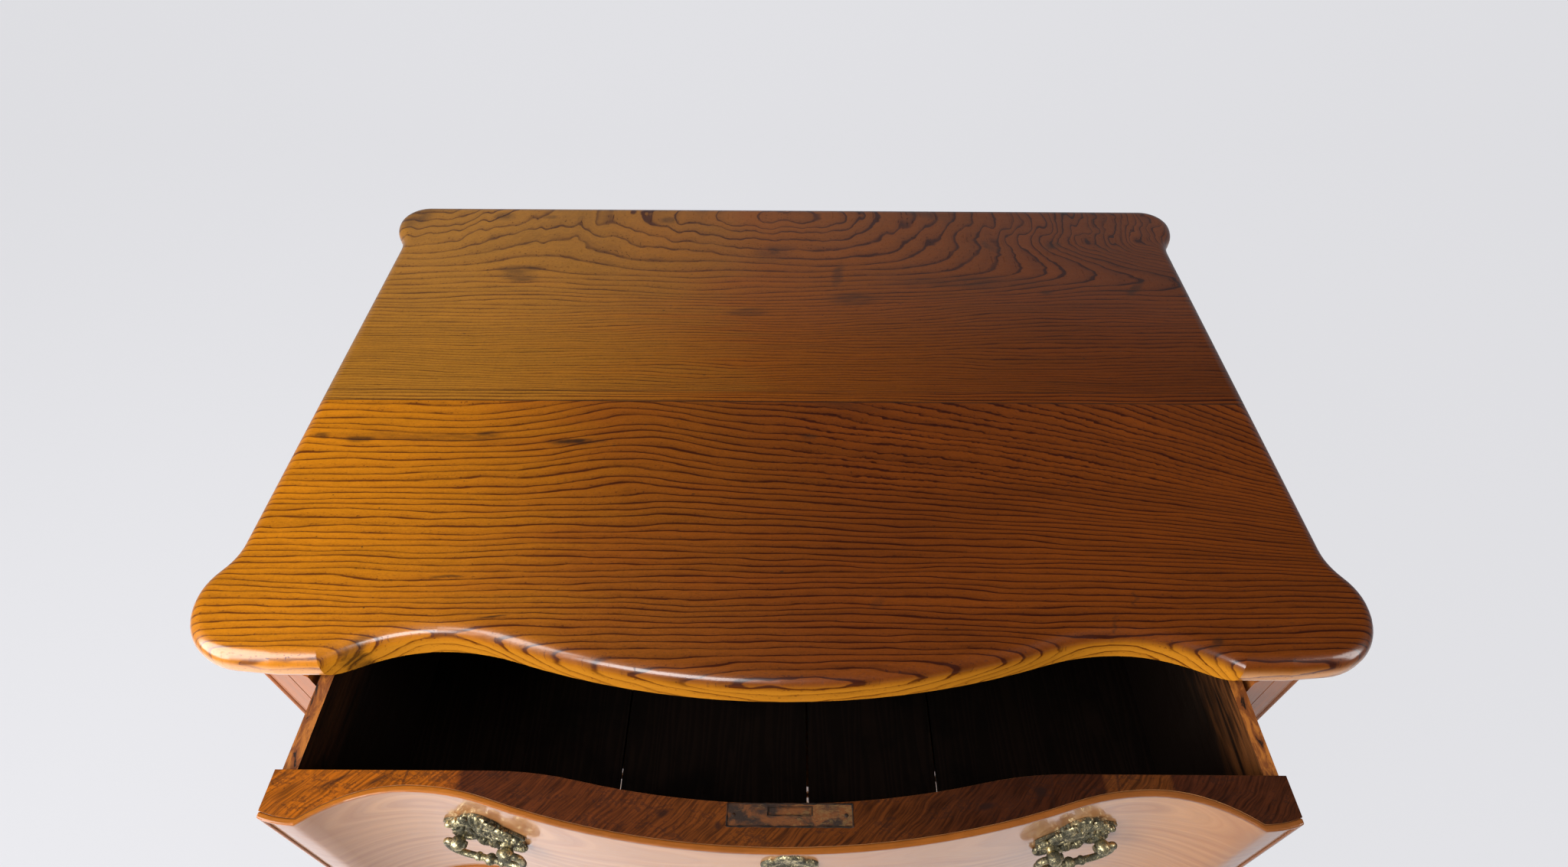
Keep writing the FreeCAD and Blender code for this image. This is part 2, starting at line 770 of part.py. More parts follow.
def make_drawer_box(name, place):
    panel = bottom_panel(name)
    gaps = [board(f"{name}_{gap}", (gap, f"{gap} + bottom_gap"), ("0", "drawer_rear"),
                  ("bottom_low", "bottom_top"))
            for gap in ("left_gap_at", "middle_gap_at", "right_gap_at")]
    node(name + "_drawer_bottom", [cut(name + "_bottom_boards", panel, gaps)], *place)
    side_blank = board(name + "_side_blank", ("drawer_side_inner", "drawer_side_outer"),
                       ("drawer_inner_face - side_housing", "drawer_rear"),
                       ("slide_clearance", "drawer_side_top"))
    side = cut(name + "_side", side_blank, [panel])
    right = node(name + "_drawer_right_side", [side], *place)
    nodes[name + "_drawer_left_side"] = mirror(name + "_drawer_left_side", right)
    back = board(name + "_back", ("-drawer_side_inner", "drawer_side_inner"),
                 ("drawer_rear - drawer_back_thickness", "drawer_rear"),
                 ("bottom_top", "drawer_side_top - drawer_back_drop"))
    node(name + "_drawer_back", [back], *place)
    return panel, side_blank


def make_drawer_front(name, place, panel, side_blank):
    outer, left, right = face_line(d.drawer_setback, d.front_half_width)
    inner, inner_right, inner_left = inner_line(d.drawer_setback, d.front_half_width)
    curves = outer + lines([right, inner_right]) + inner + lines([inner_left, left])
    blank = prism(name + "_front_blank", curves, "front_height")
    bind(blank, "Placement.Base.z", "front_gap")
    beads = beading(name)
    housings = [side_blank, mirror(name + "_housing_left", side_blank)]
    recess = lock_blocks(name + "_recess", "0")
    front = cut(name + "_front", blank, beads + housings + [panel] + recess + keyhole(name + "_key"))
    node(name + "_drawer_front", [front], *place)
    node(name + "_drawer_beading", [joined(name + "_beads", beads)], *place)


# Brass mounts
def face_slab(proud, deep=0):
    # A skin on the drawer's front face, from a little proud of it to a little behind it.
    outer, left, right = serpentine(d.drawer_setback - proud, d.nose_at, d.nose_depth)
    inner, inner_left, inner_right = serpentine(d.drawer_setback + deep, d.nose_at, d.nose_depth)
    edges = outer + lines([right, inner_right]) + inner + lines([inner_left, left])
    wire = Part.Wire(Part.__sortEdges__([edge.toShape() for edge in edges]))
    return Part.Face(wire).extrude(V(0, 0, d.opening_height))


def cartouche(shares, half_width, half_height, x, z):
    # The upright outline of a mount, extruded through the whole depth of the front.
    right = [(a * half_width, b * half_height) for a, b in shares]
    points = right + mirrored_points(right)[1:-1]
    wire = Part.Wire([closed_spline(points).toShape()])
    face = Part.Face(wire)
    face.rotate(V(), V(1, 0, 0), 90)
    face.translate(V(x, -d.stud_length, z))
    return face.extrude(V(0, d.stud_length + d.inner_flat_depth, 0))


def handle_frame(side):
    # Where a handle stands on the curved face: its middle, with local X along the face.
    hollow_radius = (1 - BOW_SHARE) * (d.hollow_at ** 2 + d.hollow_depth ** 2) / 2 / d.hollow_depth
    turn = math.asin((d.hollow_at - d.handle_at) / hollow_radius)
    depth = d.hollow_depth + d.drawer_setback - hollow_radius * (1 - math.cos(turn))
    rotation = FreeCAD.Rotation(V(0, 0, 1), side * math.degrees(turn))
    return FreeCAD.Placement(V(side * d.handle_at, depth, d.handle_height), rotation)


def handle_mount(side):
    frame = handle_frame(side)
    plate = face_slab(d.plate_thickness, -d.plate_clearance).common(
        cartouche(PLATE_SHARES, d.plate_half_width, d.plate_half_height, side * d.handle_at,
                  d.handle_height))
    wood = face_slab(0, d.stud_length)
    posts = []
    for end in (-1, 1):
        stud = Part.makeCylinder(d.stud_radius, d.stud_length + d.stud_root,
                                 V(end * d.post_spread, d.stud_root, -d.post_drop), V(0, -1, 0))
        eye = Part.makeSphere(d.eye_radius, V(end * d.post_spread, -d.stud_length, -d.post_drop), V(1, 0, 0))
        hole = Part.makeCylinder(d.bail_wire_radius + d.pin_clearance, 2 * d.eye_radius,
                                 V(end * d.post_spread - d.eye_radius, -d.stud_length, -d.post_drop),
                                 V(1, 0, 0))
        posts.append(stud.fuse(eye).cut(hole))
    for post in posts:
        post.Placement = frame
    return plate.fuse(posts).cut(wood).removeSplitter()


def bail_half():
    # Half of the bar: out of its eye, down at the side and in along the bottom to the middle.
    start = d.post_spread - d.bail_pin_inset
    wide = d.bail_half_width
    shoulder = V(wide - d.bail_shoulder, 0, -d.bail_shoulder)
    elbow = V(wide - d.bail_corner, 0, d.bail_corner - d.bail_drop)
    ring = Part.Circle(V(start, 0, 0), V(1, 0, 0), d.bail_wire_radius)
    end = Part.Face(Part.Wire([ring.toShape()]))
    across = V(0, 1, 0)
    pieces = []
    for run, turn in ((V(shoulder.x - start, 0, 0), shoulder), (V(0, 0, elbow.z - shoulder.z), elbow),
                      (V(-elbow.x, 0, 0), None)):
        pieces.append(end.extrude(run))
        end = end.translated(run)
        if turn:
            pieces.append(end.revolve(turn, across, 90))
            end = end.rotated(turn, across, 90)
    return pieces[0].fuse(pieces[1:]).removeSplitter()


def bail(side):
    # A round bar bent to a drooping loop, its two ends turned inwards through the eyes.
    half = bail_half()
    knop = Part.makeSphere(d.bail_knop_radius, V(0, 0, -d.bail_drop), V(1, 0, 0))
    collars = [Part.makeSphere(d.bail_collar_radius, V(end * d.bail_collar_at, 0, -d.bail_drop), V(1, 0, 0))
               for end in (-1, 1)]
    solid = half.fuse([half.mirror(V(), V(1, 0, 0)), knop] + collars).removeSplitter()
    frame = handle_frame(side)
    solid.Placement = frame.multiply(
        FreeCAD.Placement(V(0, -d.stud_length, -d.post_drop), FreeCAD.Rotation()))
    return solid


def escutcheon():
    plate = face_slab(d.escutcheon_thickness).common(
        cartouche(ESCUTCHEON_SHARES, d.escutcheon_half_width, d.escutcheon_half_height,
                  d.lock_offset, d.keyhole_height))
    hole = Part.makeCylinder(d.keyhole_radius, d.lock_back, V(d.lock_offset, -d.bead_proud,
                             d.keyhole_height), V(0, 1, 0))
    slot = Part.makeBox(d.key_slot_width, d.lock_back, d.key_slot_length,
                        V(d.lock_offset - d.key_slot_width / 2, -d.bead_proud,
                          d.keyhole_height - d.key_slot_length))
    return plate.cut([hole, slot])


def make_handles(name, place):
    mounts = [moulded(f"{name}_{word}_mount", handle_mount(side))
              for word, side in (("left", -1), ("right", 1))]
    node(name + "_handle_mounts", mounts, *place)
    for word, side in (("left", -1), ("right", 1)):
        node(f"{name}_{word}_bail", [moulded(f"{name}_{word}_bail_bar", bail(side))], *place)
    node(name + "_escutcheon", [moulded(name + "_escutcheon_plate", escutcheon())], *place)


def make_drawer(name, level):
    pulled = "-top_drawer_open" if name == "top" else "0"
    place = (pulled, level_base(level))
    panel, side_blank = make_drawer_box(name, place)
    make_drawer_front(name, place, panel, side_blank)
    make_lock(name, place)
    make_handles(name, place)


def check_document():
    doc.recompute()
    for piece in doc.Objects:
        if any(word in ("Invalid", "Error") for word in piece.State):
            raise ValueError(f"{piece.Label} failed: {piece.State}")
    for name, piece in nodes.items():
        if piece.Shape.isNull() or not piece.Shape.isValid():
            raise ValueError(f"{name} has no valid shape")


def write_parts():
    os.makedirs("parts", exist_ok=True)
    for name, piece in nodes.items():
        piece.Shape.exportStep(f"parts/{name}.step")


d = fill_sheet()
make_top()
make_posts()
make_sides()
make_back()
make_rails()
make_runners()
make_case_bottom()
make_mouldings()
make_feet()
for level, name in enumerate(LEVELS):
    make_drawer(name, level)
check_document()
write_parts()
print(len(nodes), "sub-parts,", sum(len(piece.Shape.Solids) for piece in nodes.values()), "solids")
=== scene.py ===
# Serpentine chest of three drawers: polished elm top, walnut fronts, iron locks and cast brass handles.
import json
import math

import bpy
from mathutils import Matrix, Vector


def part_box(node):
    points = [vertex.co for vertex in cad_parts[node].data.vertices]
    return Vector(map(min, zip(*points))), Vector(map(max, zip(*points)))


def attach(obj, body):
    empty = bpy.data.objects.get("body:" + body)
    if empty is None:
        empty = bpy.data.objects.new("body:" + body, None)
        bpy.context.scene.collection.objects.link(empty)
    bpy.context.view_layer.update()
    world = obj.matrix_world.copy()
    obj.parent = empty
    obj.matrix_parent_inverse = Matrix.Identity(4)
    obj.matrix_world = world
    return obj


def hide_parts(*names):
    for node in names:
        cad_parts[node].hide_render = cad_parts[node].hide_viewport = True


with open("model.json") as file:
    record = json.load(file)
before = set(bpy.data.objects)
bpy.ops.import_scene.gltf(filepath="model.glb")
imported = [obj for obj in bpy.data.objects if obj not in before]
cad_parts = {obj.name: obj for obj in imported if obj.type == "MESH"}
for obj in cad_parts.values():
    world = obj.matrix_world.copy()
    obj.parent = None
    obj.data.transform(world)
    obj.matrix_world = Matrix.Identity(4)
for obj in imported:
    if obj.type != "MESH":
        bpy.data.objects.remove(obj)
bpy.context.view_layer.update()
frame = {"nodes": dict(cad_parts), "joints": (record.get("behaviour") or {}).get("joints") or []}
cadNodes = frame["nodes"]
levels = ("bottom", "middle", "top")
topFront = -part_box("top_front_board")[0].y * 1000  # mm from the origin forward to the top's front edge
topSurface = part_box("top_rear_board")[1].z * 1000
print("frame loaded:", len(cadNodes), "nodes")


class Wire:
    # One output of a shader node, used in plain sums with numbers and other wires.
    def __init__(self, tree, socket):
        self.tree = tree
        self.socket = socket

    def __add__(self, other):
        return self.tree.sum("ADD", self, other)

    def __radd__(self, other):
        return self.tree.sum("ADD", other, self)

    def __sub__(self, other):
        return self.tree.sum("SUBTRACT", self, other)

    def __rsub__(self, other):
        return self.tree.sum("SUBTRACT", other, self)

    def __mul__(self, other):
        return self.tree.sum("MULTIPLY", self, other)

    def __rmul__(self, other):
        return self.tree.sum("MULTIPLY", other, self)

    def __truediv__(self, other):
        return self.tree.sum("DIVIDE", self, other)

    def __rtruediv__(self, other):
        return self.tree.sum("DIVIDE", other, self)


class Tree:
    # The nodes of a material or of the world.
    def __init__(self, owner):
        owner.use_nodes = True
        self.nodes = owner.node_tree.nodes
        self.links = owner.node_tree.links
        self.nodes.clear()

    def node(self, kind, settings, values, out=0):
        made = self.nodes.new(kind)
        for key, value in settings.items():
            if key == "stops":
                elements = made.color_ramp.elements
                while len(elements) < len(value):
                    elements.new(1)
                for element, (position, colour) in zip(elements, value):
                    element.position = position
                    element.color = (*colour, 1)
            elif key == "points":
                curve = made.mapping.curves[0]
                for across, up in value[1:-1]:
                    curve.points.new(across, up)
                curve.points[0].location = value[0]
                curve.points[-1].location = value[-1]
                made.mapping.update()
            else:
                setattr(made, key, value)
        for key, value in values.items():
            if isinstance(value, Wire):
                self.links.new(value.socket, made.inputs[key])
            else:
                made.inputs[key].default_value = value
        return Wire(self, made.outputs[out]) if made.outputs else None

    def sum(self, operation, *terms):
        return self.node("ShaderNodeMath", {"operation": operation}, dict(enumerate(terms)))


class Paint(Tree):
    # One finish. Lengths are in millimetres, in the chest's own frame.
    def __init__(self, name):
        self.material = bpy.data.materials.new(name)
        super().__init__(self.material)
        metres = self.node("ShaderNodeTexCoord", {}, {}, "Object")
        self.at = self.node("ShaderNodeVectorMath", {"operation": "SCALE"}, {0: metres, "Scale": 1000})
        self.x, self.y, self.z = (self.node("ShaderNodeSeparateXYZ", {}, {0: self.at}, axis)
                                  for axis in range(3))

    def soft(self, value, low, high):
        # 0 below low and 1 above high, with a smooth rise between; low may be the larger one.
        return self.node("ShaderNodeMapRange", {"interpolation_type": "SMOOTHSTEP"},
                         {"Value": value, "From Min": low, "From Max": high})

    def stretched(self, sizes, *shift):
        # Places in which each of the sizes, in mm along X, Y and Z, is one unit long.
        return self.node("ShaderNodeMapping", {}, {"Vector": self.at, "Location": shift,
                                                   "Scale": tuple(1 / size for size in sizes)})

    def clouds(self, place, detail, rough=0.6, warp=0.0):
        return self.node("ShaderNodeTexNoise", {}, {"Vector": place, "Scale": 1, "Detail": detail,
                                                    "Roughness": rough, "Distortion": warp})

    def noise(self, sizes, detail, rough=0.5, seed=0.0, warp=0.0):
        # Clouds from 0 to 1 whose lumps are about as long as the sizes.
        return self.clouds(self.stretched(sizes, seed, seed * 1.7, seed * 2.3), detail, rough, warp)

    def specks(self, sizes, radius, share, seed):
        # Scattered dots in that share of the cells; the radius is a share of the sizes.
        values = {"Vector": self.stretched(sizes, seed, seed, seed), "Scale": 1, "Randomness": 1}
        near = self.node("ShaderNodeTexVoronoi", {}, values, "Distance")
        pick = self.node("ShaderNodeTexVoronoi", {}, values, "Color")
        chance = self.node("ShaderNodeSeparateColor", {}, {0: pick})
        return self.soft(near, radius, radius * 0.6) * self.soft(chance, 1 - share, 1.02 - share)

    def most(self, first, *others):
        # The largest of them at each place.
        for other in others:
            first = self.sum("MAXIMUM", first, other)
        return first

    def lineAt(self, distance, far, core):
        # 1 within the core of a line and 0 beyond its far edge.
        return self.soft(self.sum("ABSOLUTE", distance), far, core)

    def upward(self):
        # 1 on faces that look up and 0 on upright ones.
        outward = self.node("ShaderNodeNewGeometry", {}, {}, "Normal")
        return self.soft(self.node("ShaderNodeSeparateXYZ", {}, {0: outward}, 2), 0.55, 0.85)

    def mix(self, share, first, second, blend="MIX"):
        # Colours only, because a Math node would turn them grey.
        values = {0: share}
        for key, colour in ((6, first), (7, second)):
            values[key] = colour if isinstance(colour, Wire) else (*colour, 1)
        return self.node("ShaderNodeMix", {"data_type": "RGBA", "blend_type": blend}, values, 2)

    def shade(self, colour, level):
        # The colour made darker or lighter by a level, 1 for no change.
        grey = self.node("ShaderNodeCombineColor", {}, {0: level, 1: level, 2: level})
        return self.mix(1.0, colour, grey, "MULTIPLY")

    def bump(self, height, depth):
        # Height from 0 to 1 stands for a depth in mm.
        return self.node("ShaderNodeBump", {},
                         {"Height": height, "Strength": 1, "Distance": depth / 1000})

    def finish(self, **values):
        # The named inputs of the surface shader; the rest keep their defaults.
        named = {key.replace("_", " "): value for key, value in values.items()}
        shader = self.node("ShaderNodeBsdfPrincipled", {}, named)
        self.node("ShaderNodeOutputMaterial", {}, {"Surface": shader})
        return self.material


def patch(paint, place, spots):
    # Soft-edged ovals: centre across and back from the top's front edge, half sizes, turn, strength.
    marks = []
    for across, back, halfWide, halfDeep, turn, strength in spots:
        local = paint.node("ShaderNodeMapping", {"vector_type": "TEXTURE"},
                           {"Vector": place, "Location": (across, back - topFront, 0),
                            "Rotation": (0, 0, math.radians(turn)), "Scale": (halfWide, halfDeep, 1000)})
        flat = paint.node("ShaderNodeVectorMath", {"operation": "MULTIPLY"}, {0: local, 1: (1, 1, 0)})
        reach = paint.node("ShaderNodeVectorMath", {"operation": "LENGTH"}, {0: flat}, "Value")
        marks.append(paint.soft(reach, 1.3, 0.35) * strength)
    return paint.most(*marks)


def streaks(paint, rings, long, per, detail, seed):
    # Clouds drawn out along the figure: their length in mm, and how many fit across one ring.
    spot = paint.node("ShaderNodeCombineXYZ", {}, {0: paint.x / long, 1: rings * per, 2: seed})
    return paint.clouds(spot, detail)


def ringLines(paint, rings, sharp, tail):
    # The dark early wood of each ring: a quick rise and a slow fade, from 0 to 1.
    part = paint.sum("FRACT", rings)
    return paint.soft(part, 0, sharp) * paint.soft(part, tail, sharp * 1.4)


# Top: three elm boards, French polished
elm = {
    "gold": (0.47, 0.156, 0.0015), "rearGold": (0.39, 0.158, 0.012), "amber": (0.225, 0.060, 0.0015),
    "brown": (0.136, 0.029, 0.0010), "line": (0.19, 0.100, 0.12), "stain": (0.022, 0.009, 0.004),
    "pale": (0.72, 0.275, 0.018),
    "edgeBand": (4, 16),  # mm under the surface where the pale edge wood begins and is full
    "lineShare": 0.28,  # how much of each ring is dark early wood
}


def frontRings(paint):
    # Lines that arch over the board and close up towards its right end; lower layers dip to the back.
    back = paint.y + topFront
    right = paint.sum("MAXIMUM", paint.x, 0)
    swell = 1 / (1 - (right * 0.115 + right * right * 0.00026) / 224) - 1
    off = (paint.x + 140) / 72
    wave = 20 * paint.sum("EXPONENT", off * off * -1) * paint.soft(back, 150, 235)
    dip = (paint.z - topSurface) * -0.577
    drift = (paint.noise((190, 45, 45), 1, seed=3) - 0.5) * 16
    drift = drift + (paint.noise((48, 12, 12), 2, seed=8) - 0.5) * 5
    zigzag = (paint.noise((7, 3, 3), 1, 0.5, 5) - 0.5) * 5
    zigzag = zigzag * paint.soft(back, 150, 215) * paint.soft(paint.x, -60, 70)
    level = 50 + (back - wave - 50) * (1 + swell * paint.soft(back, 30, 220)) + dip + drift + zigzag
    return paint.sum("ARCTANGENT", level * 0.003134) * 57


def stripRings(paint):
    back = paint.y + topFront
    drift = (paint.noise((160, 20, 20), 2, seed=21) - 0.5) * 9
    return (back + drift + (paint.z - topSurface) * 0.3) / 4.4


def rearRings(paint):
    # Fine straight lines in front, then a flame: pointed rings round a pale heart at the rear edge.
    back = paint.y + topFront
    off = paint.x - 12
    across = paint.sum("MAXIMUM", off / 2.0, off / -3.3)
    high = back - 618
    reach = paint.sum("SQRT", across * across + high * high + 40)
    turned = paint.soft(back, 430, 580) * (0.15 + 0.85 * paint.soft(paint.x, -450, -230))
    zigzag = (paint.noise((20, 90, 15), 1, 0.4, 5) - 0.5) * 22 * paint.soft(back, 510, 600)
    fan = 22 * paint.soft(paint.x, -40, 300) * paint.soft(back, 350, 430) * paint.soft(back, 510, 430)
    drift = (paint.noise((240, 60, 60), 1, seed=12) - 0.5) * 20
    drift = drift + (paint.noise((50, 12, 12), 2, seed=14) - 0.5) * 4
    curved = 612 - reach
    level = back + (curved - back) * turned - fan + drift + zigzag + (paint.z - topSurface) * 0.4
    widening = {"points": ((0, 0), (0.139, 0.235), (0.472, 0.66), (0.722, 0.79), (1, 0.90))}
    return paint.node("ShaderNodeFloatCurve", widening, {"Value": (level - 300) / 360}) * 60


# Each board turns from gold to brown over a span given in mm across from the middle of the top: partly
# the elm's own tone, partly painted light, brighter on the left where the light falls and painted shade
# towards the right.
# Marks are old stains, as patch takes them.
elmBoards = {
    "front": {
        "rings": frontRings, "gold": "gold", "brightness": 1.05, "lineDepth": 1.14,
        "reddeningAndFalloff": (-430, 90), "seed": 31,
        "marks": ((-195, 241, 30, 4.5, 2, 0.95), (-278, 250, 15, 4, 0, 0.8), (-436, 247, 12, 4, 0, 0.8),
                  (-400, 243, 20, 4, 0, 0.7), (-340, 246, 90, 7, -2, 0.45), (25, 249, 9, 4, 0, 0.7),
                  (-275, 92, 15, 1.8, 3, 0.8), (-228, 56, 14, 1.4, 8, 0.8), (285, 76, 2, 8, -10, 0.6),
                  (262, 52, 1.6, 9, -8, 0.5), (77, 70, 6, 5, 40, 0.5), (338, 37, 8, 3.5, 35, 0.8),
                  (-333, 27, 17, 6, 48, 0.85), (25, 296, 12, 4, 0, 0.7), (60, 290, 45, 5, -8, 0.5)),
    },
    "strip": {
        "rings": stripRings, "gold": "rearGold", "brightness": 0.97, "lineDepth": 1.5,
        "reddeningAndFalloff": (-430, 330), "seed": 43, "marks": (),
    },
    "rear": {
        "rings": rearRings, "gold": "rearGold", "brightness": 0.86, "lineDepth": 0.90,
        "reddeningAndFalloff": (-420, 380), "seed": 57,
        "marks": ((-305, 506, 26, 9, 3, 0.6), (-303, 492, 24, 10, -4, 0.7), (62, 500, 7, 24, -10, 0.55),
                  (78, 457, 30, 13, 3, 0.6), (210, 487, 95, 13, 1, 0.5), (-38, 431, 26, 7, 4, 0.55),
                  (-12, 544, 9, 9, 0, 0.85), (-14, 541, 26, 18, 20, 0.4), (397, 478, 5, 21, -38, 0.7),
                  (170, 628, 34, 12, -25, 0.6), (-143, 607, 10, 9, 0, 0.5), (-290, 612, 10, 4, 0, 0.45),
                  (-346, 614, 16, 9, 0, 0.5), (320, 558, 12, 7, 30, 0.6), (245, 556, 6, 15, 38, 0.6),
                  (295, 469, 9, 4, 15, 0.6), (-455, 612, 20, 24, 0, 0.55), (430, 300, 40, 9, 0, 0.4)),
    },
}


def makeElm(name):
    board = elmBoards[name]
    seed = board["seed"]
    paint = Paint("polished_elm_" + name)
    rings = board["rings"](paint)
    rings = rings + (streaks(paint, rings, 130, 0.45, 1, seed + 1) - 0.5) * 1.1
    part = paint.sum("FRACT", rings)
    chance = paint.node("ShaderNodeTexWhiteNoise", {"noise_dimensions": "1D"},
                        {"W": paint.sum("FLOOR", rings) + seed * 7})
    row = paint.soft(part, 0, 0.09) * paint.soft(part, elm["lineShare"], 0.10)
    fade = paint.soft(part, 0, 0.12) * paint.soft(part, 0.80, 0.12)
    broken = paint.soft(streaks(paint, rings, 34, 1.3, 3, seed + 2), 0.34, 0.62)
    bands = streaks(paint, rings, 190, 0.42, 2, seed + 3)
    fibre = streaks(paint, rings, 15, 6.5, 2, seed + 4)
    pores = paint.soft(streaks(paint, rings, 3.4, 8, 1, seed + 5), 0.60, 0.70)
    ripple = paint.noise((2.4, 1.1, 1.1), 2, 0.6, seed + 6, 0.9)
    cloud = paint.noise((210, 120, 120), 3, 0.55, seed + 9)
    # The turn to brown is partly the elm's tone and partly painted light falling off from left to right.
    toRight = paint.soft(paint.x + (cloud - 0.5) * 220 + (bands - 0.5) * 190, *board["reddeningAndFalloff"])
    colours = {"stops": ((0, elm[board["gold"]]), (0.52, elm["amber"]), (1, elm["brown"]))}
    wood = paint.node("ShaderNodeValToRGB", colours, {0: toRight})
    tone = 0.42 + bands * 0.56 + fibre * 0.34 + (ripple - 0.5) * 0.55 + (cloud - 0.5) * 0.5
    wood = paint.shade(wood, board["brightness"] * tone)
    edge = paint.soft(paint.z, *(topSurface - below for below in elm["edgeBand"]))
    wood = paint.mix(edge * 0.8, wood, elm["pale"])
    dark = row * (0.48 + chance * 0.5) * (0.62 + broken * 0.45) + fade * 0.30 * (0.4 + broken * 0.6)
    dark = dark * board["lineDepth"] * (1 + toRight * 0.4) * (1 - edge * 0.45)
    dark = paint.sum("MINIMUM", dark + pores * (0.20 + fade * 0.42), 0.95)
    wood = paint.mix(dark, wood, elm["line"], "MULTIPLY")
    holes = paint.most(paint.specks((22, 14, 14), 0.05, 0.22, seed),
                       paint.specks((26, 9, 9), 0.085, 0.10, seed + 3))
    wood = paint.mix(holes * 0.8, wood, elm["stain"])
    low, high = (corner.y * 1000 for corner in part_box("top_joint_strip"))
    uneven = paint.noise((60, 60, 60), 2, 0.6, seed + 13)
    joint = paint.most(paint.lineAt(paint.y - low, 1.1, 0.3) * (0.45 + uneven),
                       paint.lineAt(paint.y - high, 1.1, 0.3) * uneven)
    wood = paint.mix(paint.sum("MINIMUM", joint * 0.9, 0.9), wood, elm["stain"])
    if board["marks"]:
        sway = paint.noise((26, 5, 5), 3, 0.6, seed + 15)
        shift = paint.node("ShaderNodeCombineXYZ", {}, {0: (sway - 0.5) * 16, 1: (sway - 0.5) * 7})
        moved = paint.node("ShaderNodeVectorMath", {"operation": "ADD"}, {0: paint.at, 1: shift})
        stained = patch(paint, moved, board["marks"]) * (0.45 + broken * 0.55)
        wood = paint.mix(paint.sum("MINIMUM", stained, 0.92), wood, elm["stain"])
    relief = 1 - row * 0.3 - pores * 0.5 - holes
    wave = paint.noise((16, 7, 7), 1, 0.4, seed + 17)
    haze = paint.noise((90, 60, 60), 3, 0.6, seed + 19)
    return paint.finish(Base_Color=wood, Roughness=0.34 + (fibre - 0.5) * 0.2 + pores * 0.15,
                        Normal=paint.bump(relief + wave * 2.2, 0.05),
                        Coat_Weight=(1 - pores * 0.35) * (0.75 + haze * 0.4),
                        Coat_Roughness=0.17, Specular_IOR_Level=0.25)


# Walnut of the drawer fronts, mm across from the middle: the edge colours are stops along the top edge,
# and painted shade darkens the face over its flanks, where the bow turns it away from the light
front = {
    "pale": (0.47, 0.220, 0.080), "warm": (0.34, 0.126, 0.037), "dark": (0.145, 0.044, 0.013),
    "grime": (0.014, 0.005, 0.003), "seam": (0.02, 0.006, 0.003),
    "halfWide": 370, "shadedFlank": (290, 362), "flankPaintedShade": 0.52,
    "knots": ((-83, -82, 5, 3, 20, 0.8), (147, -76, 7, 2.6, 15, 0.9), (188, -65.5, 5, 4, 30, 0.95),
              (-43.4, -90, 2.6, 3.2, 0, 0.75), (-325, -62, 15, 1.6, 24, 0.6),
              (-292, -60, 10, 1.3, 30, 0.55), (60, -74, 3, 1.6, -30, 0.4)),
    "heart": (262, 30), "ringSize": (92, 30), "ringGap": 0.26, "seams": (-234, 236, 284),
    "edge": ((-370, (0.34, 0.086, 0.001)), (-262, (0.30, 0.074, 0.001)), (-235, (0.22, 0.050, 0.003)),
             (-233, (0.070, 0.015, 0.003)), (-110, (0.090, 0.020, 0.003)), (-30, (0.120, 0.030, 0.003)),
             (60, (0.085, 0.020, 0.002)), (140, (0.040, 0.009, 0.002)), (235, (0.036, 0.008, 0.002)),
             (237, (0.095, 0.025, 0.004)), (283, (0.095, 0.025, 0.004)), (285, (0.045, 0.010, 0.003)),
             (370, (0.050, 0.012, 0.003))),
}


